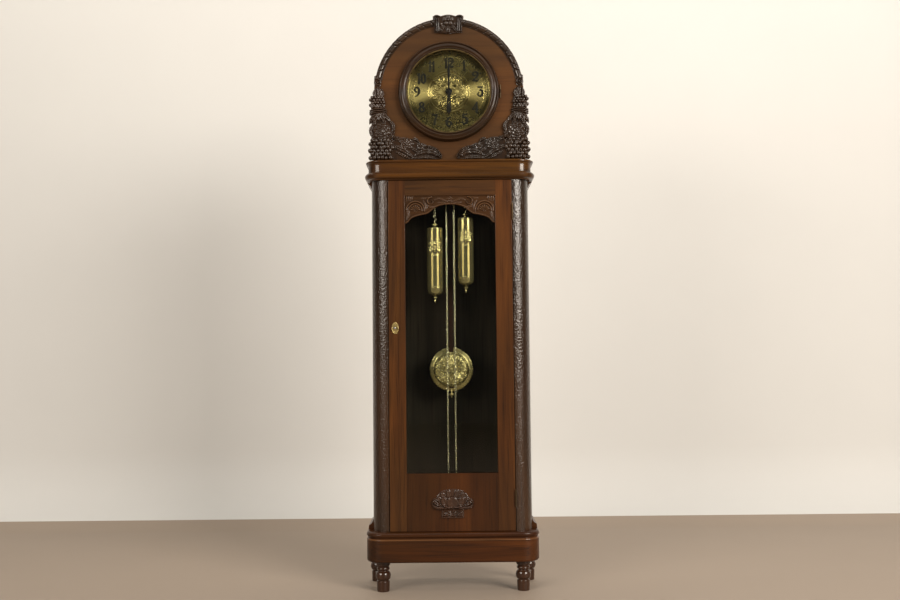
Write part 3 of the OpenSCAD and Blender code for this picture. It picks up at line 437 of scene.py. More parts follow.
# ------------------------------------------------------------------ relief carving
class Relief:
    """Carved relief over points (X, Z) in millimetres. F is how far inside the outline, H the height."""
    def __init__(self, X, Z):
        self.X, self.Z = X, Z
        self.F = np.full(X.shape, -1e3)
        self.H = np.zeros(X.shape)
    def put(self, idx, f, h, cut=False):
        F, H = self.F[idx], self.H[idx]
        inside = f > 0
        self.H[idx] = np.where(inside & (h > H), h, H)
        self.F[idx] = np.maximum(F, f)
    def near(self, x0, x1, z0, z1):
        return np.where((self.X > x0) & (self.X < x1) & (self.Z > z0) & (self.Z < z1))
    def ground(self, poly, h, edge=2.5):
        P = np.asarray(poly, float)
        i = self.near(P[:, 0].min() - 4, P[:, 0].max() + 4, P[:, 1].min() - 4, P[:, 1].max() + 4)
        x, z = self.X[i], self.Z[i]
        d = np.full(x.shape, 1e9)
        odd = np.zeros(x.shape, bool)
        for a, b in zip(P, np.roll(P, -1, 0)):
            ab = b - a
            t = np.clip(((x - a[0]) * ab[0] + (z - a[1]) * ab[1]) / (ab @ ab + 1e-12), 0, 1)
            d = np.minimum(d, np.hypot(x - a[0] - t * ab[0], z - a[1] - t * ab[1]))
            hit = ((a[1] > z) != (b[1] > z)) & (x < (b[0] - a[0]) * (z - a[1]) / (b[1] - a[1] + 1e-12) + a[0])
            odd ^= hit
        f = np.where(odd, d, -d)
        e = np.clip(f / edge, 0, 1)
        self.put(i, f, h * (0.45 + 0.55 * np.sqrt(1 - (1 - e) ** 2)))
    def ball(self, cx, cz, r, base, h, sq=1.0, rim=0.35):
        i = self.near(cx - r - 2, cx + r + 2, cz - r / sq - 2, cz + r / sq + 2)
        d = np.hypot(self.X[i] - cx, (self.Z[i] - cz) * sq)
        q = np.clip(1 - (d / r) ** 2, 0, 1)
        self.put(i, r - d, base * rim + base * (1 - rim) * np.minimum(1, q * 6) + h * np.sqrt(q))
    def stroke(self, ctrl, n=26, base=4.0, kind="round", veins=0, vein_h=1.0, closed=False, notch=0, rim=0.35):
        """ctrl rows: x, z, half width, height. kind: round, leaf, ribbon, cup, fold."""
        C = spline(ctrl, n, closed)
        wmax = C[:, 2].max() + 2
        i = self.near(C[:, 0].min() - wmax, C[:, 0].max() + wmax, C[:, 1].min() - wmax, C[:, 1].max() + wmax)
        x, z = self.X[i], self.Z[i]
        bf = np.full(x.shape, -1e3); bq = np.zeros(x.shape); bh = np.zeros(x.shape); bs = np.zeros(x.shape); sg = np.zeros(x.shape); bw = np.ones(x.shape)
        seg = list(zip(C[:-1], C[1:])) + ([(C[-1], C[0])] if closed else [])
        L = 0.0
        for a, b in seg:
            ab = b[:2] - a[:2]
            ll = ab @ ab
            if ll < 1e-9:
                continue
            t = np.clip(((x - a[0]) * ab[0] + (z - a[1]) * ab[1]) / ll, 0, 1)
            dx, dz = x - a[0] - t * ab[0], z - a[1] - t * ab[1]
            d = np.hypot(dx, dz)
            wd = np.maximum(a[2] + t * (b[2] - a[2]), 0.05)
            s = L + t * math.sqrt(ll)
            if notch:
                wd = wd * (1 - 0.22 * np.abs(np.sin(math.pi * s / notch)) ** 3)
            f = wd - d
            m = f > bf
            bf[m] = f[m]; bq[m] = (d / wd)[m]; bh[m] = (a[3] + t * (b[3] - a[3]))[m]; bs[m] = s[m]; bw[m] = wd[m]
            sg[m] = np.sign(ab[0] * dz - ab[1] * dx)[m]
            L += math.sqrt(ll)
        q = np.clip(bq, 0, 1)
        if kind == "round":
            p = np.sqrt(1 - q ** 2)
        elif kind == "ribbon":
            p = np.sqrt(1 - q ** 6)
        elif kind == "leaf":
            p = np.sqrt(1 - q ** 2.4) * (0.72 + 0.28 * q) - 0.34 * np.exp(-(q * bw / 0.9) ** 2)
        elif kind == "cup":
            p = np.sqrt(1 - q ** 5) * (0.45 + 0.6 * q ** 1.5)
        elif kind == "fold":
            p = np.sqrt(1 - q ** 2) * np.where(sg > 0, 1.0, 0.65)
        h = bh * p
        if veins:
            h = h - vein_h * np.clip(np.abs(np.sin(math.pi * (bs + 0.55 * q * bw) / veins)), 0, 1) ** 8 * np.clip(q * 3, 0, 1) * (q < 0.95)
        e = np.clip(bf / 1.6, 0, 1)
        self.put(i, bf, base * (rim + (1 - rim) * e) + np.clip(h, 0, 99))
    def petal(self, cx, cz, ang, ln, wd, base, h, lift=0.55):
        """Rounded petal with a raised outer lip. ang is the direction it points in, degrees."""
        r = max(ln, wd) + 2
        i = self.near(cx - r, cx + r, cz - r, cz + r)
        a = math.radians(ang)
        u = (self.X[i] - cx) * math.cos(a) + (self.Z[i] - cz) * math.sin(a)
        v = -(self.X[i] - cx) * math.sin(a) + (self.Z[i] - cz) * math.cos(a)
        q = np.sqrt((u / ln) ** 2 + (v / wd) ** 2)
        f = (1 - q) * min(ln, wd)
        s = np.clip((u / ln + 1) / 2, 0, 1)
        qq = np.clip(q, 0, 1)
        hh = h * ((1 - lift) + lift * s ** 1.3) * np.sqrt(np.clip(1 - qq ** 5, 0, 1)) * (0.78 + 0.22 * qq ** 2) - 0.12 * h * np.exp(-(v / (0.16 * wd)) ** 2) * (1 - qq)
        self.put(i, f, base * (0.35 + 0.65 * np.clip(f / 2.2, 0, 1) ** 0.8) + hh)
    def rose(self, cx, cz, R, base, h, n=(8, 6, 4), turn=0.0, sq=1.0):
        for k, (rr, ll, m) in enumerate(((0.68, 0.36, n[0]), (0.42, 0.30, n[1]), (0.18, 0.22, n[2]))):
            for j in range(m):
                a = turn + 360 / m * (j + 0.5 * k)
                ca, sa = math.cos(math.radians(a)), math.sin(math.radians(a))
                self.petal(cx + R * rr * ca, cz + R * rr * sa * sq, a, R * ll, R * ll * (1.05 if k else 1.0), base + h * 0.30 * k, h * (0.55 - 0.06 * k))
        self.ball(cx, cz, R * 0.15, base + h * 0.75, h * 0.25)
    def spiral(self, cx, cz, R, turns, a0, hw, h, base, sgn=1, r_in=0.12, kind="round"):
        n = int(26 * turns) + 8
        t = np.linspace(0, 1, n)
        a = math.radians(a0) + sgn * 2 * math.pi * turns * t
        r = R * (1 - (1 - r_in) * t)
        ctrl = np.stack([cx + r * np.cos(a), cz + r * np.sin(a), np.full(n, hw) * (1 - 0.45 * t), np.full(n, h)], 1)
        self.stroke(ctrl, n * 2, base, kind)


def relief_grid(x0, x1, z0, z1, step):
    X, Z = np.meshgrid(np.arange(x0, x1 + step, step), np.arange(z0, z1 + step, step), indexing="ij")
    return Relief(X, Z)

def relief_mesh(rel, y_back, mirror=False, y_limit=None):
    """Closed mesh of the relief's inside, its back flat at y_back; the front faces -Y."""
    X, Z, F, H = rel.X.copy(), rel.Z.copy(), rel.F, rel.H.copy()
    if y_limit is not None:
        H = np.minimum(H, y_back - y_limit)
    step = X[1, 0] - X[0, 0]
    ins = F > 0
    cell = ins[:-1, :-1] | ins[1:, :-1] | ins[1:, 1:] | ins[:-1, 1:]
    used = np.zeros(F.shape, bool)
    for a, b in ((0, 0), (1, 0), (1, 1), (0, 1)):
        used[a:F.shape[0] - 1 + a, b:F.shape[1] - 1 + b] |= cell
    Fc = np.clip(F, -3 * step, 1e3)
    gx = np.gradient(Fc, step, axis=0); gz = np.gradient(Fc, step, axis=1)
    g2 = np.maximum(gx ** 2 + gz ** 2, 0.25)
    out = used & ~ins
    dx, dz = -Fc * gx / g2, -Fc * gz / g2
    ln = np.hypot(dx, dz)
    k = np.minimum(1, 1.3 * step / np.maximum(ln, 1e-9))
    X[out] += (dx * k)[out]; Z[out] += (dz * k)[out]
    # heights of snapped points come from their inside neighbours
    hn = np.zeros(F.shape); cnt = np.zeros(F.shape)
    for a, b in ((1, 0), (-1, 0), (0, 1), (0, -1), (1, 1), (-1, -1), (1, -1), (-1, 1)):
        sh = np.roll(np.roll(np.where(ins, H, 0), a, 0), b, 1)
        sc = np.roll(np.roll(ins.astype(float), a, 0), b, 1)
        hn += sh; cnt += sc
    H[out] = (hn / np.maximum(cnt, 1))[out]
    idx = -np.ones(F.shape, int)
    idx[used] = np.arange(used.sum())
    n = int(used.sum())
    Vf = np.stack([X[used], y_back - H[used], Z[used]], 1)
    Vb = np.stack([X[used], np.full(n, y_back), Z[used]], 1)
    c = np.argwhere(cell)
    i, j = c[:, 0], c[:, 1]
    q = np.stack([idx[i, j], idx[i + 1, j], idx[i + 1, j + 1], idx[i, j + 1]], 1)
    # skirts on the outline, in the direction of the cells' own edges
    edges = {}
    for a, b in ((0, 1), (1, 2), (2, 3), (3, 0)):
        for s, t in zip(q[:, a], q[:, b]):
            if (t, s) in edges:
                del edges[(t, s)]
            else:
                edges[(s, t)] = True
    rim = sorted({v for e in edges for v in e})
    pos = {v: n + k for k, v in enumerate(rim)}
    V = np.concatenate([Vf, Vb[rim]])
    Fc_ = [list(map(int, r)) for r in q]
    for s, t in edges:
        Fc_.append([int(t), int(s), pos[s], pos[t]])
    # the back: one face inside a single outline, or else the same cells again
    nxt = {}
    for s, t in edges:
        nxt.setdefault(int(s), []).append(int(t))
    loop, s = [], rim[0]
    while nxt.get(int(s)):
        loop.append(int(s))
        s = nxt[int(s)].pop()
    if len(loop) == len(edges):
        Fc_.append([pos[v] for v in loop][::-1])
    else:
        V = np.concatenate([Vf, Vb])
        Fc_ = [list(map(int, r)) for r in q] + [[int(x) + n for x in r[::-1]] for r in q]
        Fc_ += [[int(t), int(s2), int(s2) + n, int(t) + n] for s2, t in edges]
    if mirror:
        V = V * np.array([-1, 1, 1])
        Fc_ = [f[::-1] for f in Fc_]
    return V, Fc_


def relief_obj(name, rel, y_back, mat, body, mirror=False):
    V, F = relief_mesh(rel, y_back, mirror)
    return obj(name, V, F, mat, body, auto=62)

def give(mat, *nodes):
    for n in nodes:
        for sl in frame["nodes"][n].material_slots:
            sl.material = M[mat]

def bevelled(node, width, mats, pick=None, segments=2, angle=35, name=None, cuts=()):
    """A copy of a CAD node with its sharp edges rounded. pick(centre, normal) gives a face's material."""
    src = frame["nodes"][node].data
    bm = bmesh.new()
    bm.from_mesh(src)
    bmesh.ops.remove_doubles(bm, verts=bm.verts, dist=2e-6)
    bmesh.ops.dissolve_limit(bm, angle_limit=math.radians(0.6), verts=bm.verts, edges=bm.edges)
    lim = math.radians(angle)
    ed = [e for e in bm.edges if len(e.link_faces) == 2 and e.calc_face_angle(0) > lim and e.calc_length() > width * 1.5e-3]
    bmesh.ops.bevel(bm, geom=ed, offset=width / 1000, segments=segments, profile=0.5, affect="EDGES", clamp_overlap=True)
    bmesh.ops.dissolve_degenerate(bm, dist=1e-6, edges=bm.edges)
    for x in cuts:
        bmesh.ops.bisect_plane(bm, geom=bm.verts[:] + bm.edges[:] + bm.faces[:], plane_co=(x / 1000, 0, 0), plane_no=(1, 0, 0), dist=1e-7)
    me = bpy.data.meshes.new(name or node + "_shape")
    for f in bm.faces:
        f.smooth = True
        f.material_index = pick(f.calc_center_median() * 1000, f.normal) if pick else 0
    bmesh.ops.triangulate(bm, faces=[f for f in bm.faces if len(f.verts) > 4])
    bm.to_mesh(me)
    bm.free()
    for m in mats:
        me.materials.append(M[m])
    o = bpy.data.objects.new(name or node + "_shape", me)
    COL.objects.link(o)
    wn = o.modifiers.new("normals", "WEIGHTED_NORMAL")
    wn.mode, wn.weight, wn.keep_sharp = "FACE_AREA", 100, False
    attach(o, BODY[node])
    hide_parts(node)
    return o

# ------------------------------------------------------------------ case: CAD nodes that keep their shape
give("wood_turned", "feet")
give("wood_h", "plinth_frame")
give("wood_gold", "cornice")
give("wood_col", "corner_columns")
give("wood_inner_painted_shade", "case_floor")
give("rim", "bezel_rim")
give("glass", "door_glass", "bezel_glass")
give("brass_hinge", "hinge_fixed_leaves", "door_hinge_leaves", "lock_case", "lock_bolt")
give("brass_move", "movement_front_plate", "movement_back_plate", "suspension_bracket", "centre_wheel", "hour_wheel",
     "minute_wheel", "time_great_wheel", "intermediate_wheel", "third_wheel", "escape_wheel", "time_chain_wheel",
     "strike_chain_wheel", "strike_great_wheel", "pin_wheel", "locking_wheel", "fly", "strike_hammer")
give("steel", "pallet_anchor", "suspension_spring")
give("gong", "gong")
give("steel", "door_key")
give("hinge_dark", "bezel_hinge_leaves")

bevelled("door_frame", 1.6, ["wood_door", "wood_rail"],
         lambda c, n: 1 if abs(c.x) < 158 and c.z > 1371 else 0, cuts=(-158, 158))
bevelled("door_bottom_panel", 0.8, ["wood_panel"])
bevelled("hood_front", 2.0, ["wood_hood"])
# inside faces of the hood, trunk sides and back panel, and the seat board, get the near-black inner wood as painted
# shade
bevelled("hood_shell", 1.6, ["wood_shell", "wood_inner_painted_shade"],
         lambda c, n: 1 if math.hypot(c.x, max(0, c.z - 1742)) < 250 else 0)
bevelled("trunk_sides", 1.2, ["wood_v", "wood_inner_painted_shade"], lambda c, n: 1 if abs(c.x) < 262.5 else 0)
bevelled("back_panel", 1.0, ["wood_back", "wood_inner_painted_shade"], lambda c, n: 1 if c.y < 121 else 0)
bevelled("seat_board", 1.0, ["wood_inner_painted_shade"])
# faces of the bead below z 184.3 get the lighter wood, a painted highlight line
bevelled("plinth_moulding", 0.3, ["wood_h", "wood_painted_highlight_line"], lambda c, n: 1 if c.z < 184.3 and c.y < 90 else 0, segments=1)
bead = [(171.9 + 2.2 * math.cos(math.radians(a)), -126.0 + 2.3 * math.sin(math.radians(a))) for a in (-178, -155, -130, -110, -90, -70, -50, -30, -8)]
V, F = revolve([(149.2, -112.2), (149.2, -124.4), (149.7, -125.6), (150.6, -126.5), (151.6, -126.8), (152.8, -126.5), (153.7, -125.5), (154.1, -124.2), (154.9, -123.9), (155.5, -124.1), (157.2, -125.3), (159.5, -126.1), (161.6, -125.9), (164.0, -125.1),
                (166.0, -124.2), (168.6, -124.3)] + bead + [(174.2, -124.4), (174.4, -121.6), (175.2, -119.9), (176.2, -118.8), (176.6, -117.2), (176.8, -115), (177.2, -114.6), (178, -113.4), (178, -108), (176.6, -106.3), (153, -106.3), (153, -112.2)],
               240, (0, 0, 1742), "Y", closed=True)
V, F = clean(V, F)
o = obj("bezel_ring_turned", V, F, "wood_bezel", BODY["bezel_ring"], auto=38)
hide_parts("bezel_ring")
bevelled("pendulum_rod", 0.8, ["wood_rod", "brass_worn"], lambda c, n: 1 if c.z < 697.5 else 0)
bevelled("minute_hand", 0.35, ["black"], segments=1)
bevelled("hour_hand", 0.35, ["black"], segments=1)

# ------------------------------------------------------------------ carvings of the hood
def side_carving():
    r = relief_grid(20, 286, 1498, 1764, 1.15)
    out = [(262, 1500.5), (276, 1500.5), (279, 1530), (277, 1562), (273, 1585), (272, 1612), (275, 1640), (276, 1664), (274, 1690), (272, 1712),
           (264, 1730), (262, 1750), (252, 1758), (240, 1756), (234, 1738), (226, 1716), (225, 1690), (222, 1668), (216, 1650), (208, 1642), (196, 1636),
           (190, 1612), (198, 1596), (206, 1580), (196, 1570), (172, 1580), (150, 1580), (128, 1572), (110, 1560), (96, 1560), (80, 1552),
           (58, 1545), (38, 1534), (28, 1520), (27, 1506), (34, 1500.5)]
    r.ground(out, 5.0, 3.0)
    # leaf bud at the top
    for c in ([(246, 1722, 5, 6), (245, 1738, 10.5, 8), (247, 1750, 8, 8), (249, 1761, 2, 5)],
              [(237, 1720, 4, 5), (233.5, 1734, 6.5, 7), (236, 1746, 4.5, 6), (240, 1755, 1, 4)],
              [(258, 1722, 4, 5), (262, 1736, 6.5, 7), (260, 1747, 4.5, 6), (257, 1756, 1, 4)]):
        r.stroke(c, 22, 6, "leaf", veins=6, vein_h=1.0)
    # small berries
    for z, us in ((1722, (270, 259.5, 249, 238.5)), (1713, (275, 264.5, 254, 243.5, 233)), (1704, (270, 259.5, 249, 238.5, 229)),
                  (1695, (275, 264.5, 254, 243.5, 233)), (1687.5, (269, 259, 249, 239, 229.5))):
        for u in us:
            r.ball(u + RNG.uniform(-1, 1), z + RNG.uniform(-.8, .8), RNG.uniform(5.0, 5.9), 7.5, RNG.uniform(4.6, 6.0))
    # tie
    for z, w in ((1680, 3.3), (1673, 3.6), (1666.5, 3.0)):
        r.stroke([(222, z - 3, w, 6), (236, z + 1, w, 9), (252, z + 1.5, w, 10), (266, z, w, 8.5), (277, z - 4, w, 5)], 26, 5, "round")
    # drooping leaves under the tie
    for c in ([(246, 1663, 4, 8), (262, 1655, 8.5, 9), (274, 1642, 7, 7), (280, 1628, 1, 3)],
              [(240, 1663, 4, 8), (226, 1656, 8, 8.5), (213, 1645, 6.5, 6.5), (206, 1633, 1, 3)],
              [(250, 1662, 4, 9), (258, 1646, 8.5, 10), (262, 1632, 6, 8), (262, 1621, 1, 4)],
              [(240, 1662, 4, 9), (233, 1648, 8, 10), (228, 1636, 5.5, 8), (225, 1628, 1, 4)],
              [(245, 1663, 4, 9), (246, 1650, 8, 11.5), (246, 1640, 5, 10), (246, 1632, 1, 5)]):
        r.stroke(c, 24, 6, "leaf", veins=6.5, vein_h=1.3, notch=9)
    # rose
    r.rose(237, 1601, 30, 7, 10.5, (8, 6, 4), 12)
    # leaves beside the rose
    for c in ([(212, 1640, 3, 6), (200, 1630, 6.5, 9), (194, 1614, 6, 9), (199, 1596, 2, 5)],
              [(268, 1628, 2, 5), (275, 1612, 6, 8), (275, 1596, 6, 8), (270, 1580, 2, 5)],
              [(206, 1592, 2, 5), (196, 1582, 5.5, 8), (184, 1579, 4, 7), (176, 1583, 1, 4)],
              [(222, 1574, 2, 6), (208, 1578, 6, 9), (196, 1590, 4, 8), (192, 1600, 1, 4)]):
        r.stroke(c, 24, 6, "leaf", veins=6, vein_h=1.2, notch=8)
    # grapes
    k = 0
    z = 1508.5
    while z < 1578:
        lo = 206 - (z - 1508) * 0.10 if z < 1535 else (189 if z < 1556 else 196)
        if z > 1566:
            lo = 212
        u = 277 - (k % 2) * 7.0
        while u > lo:
            rr = RNG.uniform(7.3, 8.5)
            r.ball(u + RNG.uniform(-1.2, 1.2), z + RNG.uniform(-1.2, 1.2), rr, 7.5, rr * RNG.uniform(0.95, 1.2))
            u -= 14.0
        z += 12.2
        k += 1
    # flower between the grapes and the end leaf
    r.rose(150, 1557, 23, 6.5, 9.5, (7, 5, 3), 25, sq=0.86)
    for c in ([(172, 1566, 3, 6), (184, 1574, 6, 7.5), (192, 1571, 3.5, 6), (199, 1564, 1, 4)],
              [(132, 1566, 3, 6), (122, 1574, 5.5, 7), (112, 1569, 4, 6), (104, 1560, 1, 4)],
              [(196, 1549, 3, 7), (178, 1542, 8.5, 9), (156, 1531, 9, 9), (134, 1514, 6, 7), (124, 1505, 1, 4)],
              [(186, 1527, 3, 5), (170, 1520, 6.5, 7), (150, 1510, 6, 6.5), (134, 1504, 1, 4)],
              [(134, 1544, 3, 6), (124, 1536, 6, 7.5), (112, 1528, 5, 7), (104, 1518, 1, 4)]):
        r.stroke(c, 30, 5.5, "leaf", veins=7, vein_h=1.4, notch=10)
    # small blossom
    for j in range(5):
        a = 90 + 72 * j
        r.petal(101 + 7.5 * math.cos(math.radians(a)), 1547 + 6.8 * math.sin(math.radians(a)), a, 6.6, 6.2, 6.5, 5.5)
    r.ball(101, 1547, 3.4, 9, 4)
    # end leaf with its curl
    r.stroke([(120, 1516, 4, 5), (98, 1527, 9, 8), (74, 1530, 11.5, 9.5), (52, 1524, 10.5, 9.5), (37, 1514, 7.5, 8.5), (30, 1508, 4, 6)], 40, 5.5, "leaf", veins=8, vein_h=1.6, notch=12)
    r.stroke([(92, 1545, 2, 5), (74, 1546, 5, 7), (56, 1541, 5.5, 8), (41, 1532, 4.5, 7.5), (33, 1524, 2, 5)], 30, 5.5, "leaf", veins=6, vein_h=1.2, notch=9)
    r.stroke([(120, 1507, 3, 4), (100, 1508, 5.5, 6), (78, 1509, 6, 6.5), (58, 1507, 5, 6), (44, 1503.5, 1.5, 3)], 30, 5, "leaf", veins=6, vein_h=1.2)
    r.spiral(36, 1514.5, 8.4, 1.3, 200, 2.5, 8.5, 6.5, sgn=-1)
    return r

car = side_carving()
car.F = np.minimum(car.F, car.Z - 1499.6)
car.H = np.minimum(car.H, 19.5)
cl = relief_obj("side_carving_left", car, -105.9, "wood_carved", "root", mirror=True)
cr_ = relief_obj("side_carving_right", car, -105.9, "wood_carved", "root")
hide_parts("hood_carvings")
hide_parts("hood_carvings")

def crest():
    r = relief_grid(-58, 58, 1946, 2018, 0.7)
    out = [(-49, 1953.5), (-49.5, 1962), (-48.5, 1975), (-49, 1988), (-51, 1998), (-54.5, 2004), (-54.5, 2011), (-49, 2014), (-38, 2013.5), (-27, 2011.5), (-19, 2013.5), (-9, 2016), (0, 2017),
           (9, 2016), (19, 2013.5), (27, 2011.5), (38, 2013.5), (49, 2014), (54.5, 2011), (54.5, 2004), (51, 1998), (49, 1988), (48.5, 1975), (49.5, 1962), (49, 1953.5), (30, 1951.5), (12, 1949.5), (0, 1948.5), (-12, 1949.5), (-30, 1951.5)]
    r.ground(out, 10.0, 2.4)
    for s in (-1, 1):
        # fluted scroll ends
        for x, w in ((34.5, 3.3), (41.0, 3.1), (46.4, 2.3)):
            r.stroke([(s * (x - 1.0), 1956, w * 0.9, 4), (s * (x - 0.6), 1974, w, 6), (s * x, 1990, w, 7), (s * (x + 1.6), 2001, w * 0.9, 6.5)], 24, 10.5, "round")
        r.stroke([(s * 29, 2009, 2.6, 6), (s * 38, 2011, 3.4, 8), (s * 47, 2009.5, 3.6, 8.5), (s * 51, 2005.5, 2.6, 7)], 24, 10.5, "round")
        r.ball(s * 49.5, 2006, 4.4, 12, 7)
        # leaves from under the rose
        r.stroke([(s * 13, 1976, 2.5, 6), (s * 20, 1967, 6.2, 9), (s * 25, 1959, 5.0, 7), (s * 27, 1952.5, 1, 3)], 24, 10.5, "leaf", veins=7, vein_h=1.2)
    r.stroke([(0, 1973, 2.5, 6), (0, 1964, 6.4, 9.5), (0, 1956, 4.8, 7.5), (0, 1949.5, 1, 3)], 24, 10.5, "leaf", veins=7, vein_h=1.2)
    # crescent of petals, then the rose's five round petals and its knob
    for j in range(5):
        a = 206 + 128 * j / 4
        ca, sa = math.cos(math.radians(a)), math.sin(math.radians(a))
        r.petal(27.0 * ca, 1992 + 25.5 * sa, a, 6.0, 7.6, 10, 8.5, lift=0.9)
    for j in range(5):
        a = 90 + 72 * j
        ca, sa = math.cos(math.radians(a)), math.sin(math.radians(a))
        r.ball(12.4 * ca, 1994.0 + 12.0 * sa, 8.4, 11.5, 6.6)
    r.ball(0, 1994.0, 5.4, 14.5, 7.6)
    return r

cst = crest()
cst.H = np.minimum(cst.H, 23.4)
co_ = relief_obj("crest_rose", cst, -105.9, "wood_carved", "root")
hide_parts("crest_block")

# ------------------------------------------------------------------ ribbon moulding of the arch
def arch_roll(sgn):
    th = np.radians(np.arange(10.2, 79.9, 0.27))
    ns = 23
    s = np.linspace(0, 1, ns)
    T, S = np.meshgrid(th, s, indexing="ij")
    R = 239.3 + 24.0 * S
    roll = np.clip(1 - ((S - 0.56) / 0.44) ** 2, 0, 1) ** 0.5
    H = np.where(S < 0.12, 3.0 * np.sqrt(np.clip(S / 0.05, 0, 1)), 0)
    H = np.maximum(H, 8.6 * roll + 0.4)
    H = np.maximum(H, 7.6 * np.sqrt(np.clip(1 - ((S - 0.935) / 0.06) ** 2, 0, 1)))
    H[:, 0] = 0; H[:, -1] = 0
    a = 252 * T + (S - 0.55) * 13 + 6
    per = 52.0
    g1 = np.abs((a + per / 2) % per - per / 2)
    g2 = np.abs((a - 31 + per / 2) % per - per / 2)
    d = np.minimum(g1, g2)
    long_seg = (a % per) < 31
    c = np.where(long_seg, (a % per) - 15.5, (a % per) - 41.5)
    half = np.where(long_seg, 15.5, 10.5)
    live = S > 0.13
    pil = 1.2 * np.clip(1 - (c / half) ** 4, 0, 1) ** 0.5
    vein = np.where(long_seg, 0.0, -0.7 * np.exp(-(((S - 0.56) / 0.2) ** 2 + (c / 2.6) ** 2)))
    H = H + live * roll * (pil + vein - 4.2 * np.exp(-(d / 1.7) ** 2))
    H = np.clip(H, 0.2, 13)
    n = len(th)
    X = sgn * R * np.cos(T)
    Z = 1742 + R * np.sin(T)
    front = np.stack([X, -106.0 - H, Z], 2).reshape(-1, 3)
    back = np.stack([X, np.full_like(X, -105.8), Z], 2)[:, [0, -1]].reshape(-1, 3)
    V = np.concatenate([front, back])
    k = n * ns
    F = []
    for i in range(n - 1):
        for j in range(ns - 1):
            F.append([i * ns + j, (i + 1) * ns + j, (i + 1) * ns + j + 1, i * ns + j + 1])
        F.append([i * ns, k + 2 * i, k + 2 * i + 2, (i + 1) * ns])
        F.append([i * ns + ns - 1, (i + 1) * ns + ns - 1, k + 2 * i + 3, k + 2 * i + 1])
        F.append([k + 2 * i, k + 2 * i + 1, k + 2 * i + 3, k + 2 * i + 2])
    F.append([j for j in range(ns)] + [k + 1, k])
    F.append([(n - 1) * ns + j for j in range(ns)][::-1] + [k + 2 * n - 2, k + 2 * n - 1])
    return clean(V, F, 1e-5)

def arch_end():
    """Curl at each end of the roll."""
    r = relief_grid(230, 268, 1756, 1806, 0.9)
    r.ground([(240, 1762), (262, 1762), (263.5, 1775), (262.2, 1800), (237, 1796), (238, 1775)], 4, 2)
    r.spiral(250, 1776, 12.2, 1.5, 80, 3.0, 5.5, 4.5, sgn=1)
    r.stroke([(250, 1788.5, 3.0, 5), (258, 1790, 3.2, 5.5), (256, 1799, 3.0, 5.5), (247, 1800, 2.6, 5)], 20, 4.5, "round")
    r.ball(250, 1776, 3.4, 6, 4)
    return r

parts = []
for sgn, nm in ((-1, "left"), (1, "right")):
    V, F = arch_roll(sgn)
    o = obj("arch_ribbon_" + nm, V, F, "wood_arch", "root", auto=60)
    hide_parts("arch_moulding")
    e = relief_obj("arch_curl_" + nm, arch_end(), -105.8, "wood_carved", "root", mirror=sgn < 0)
    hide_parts("arch_moulding")

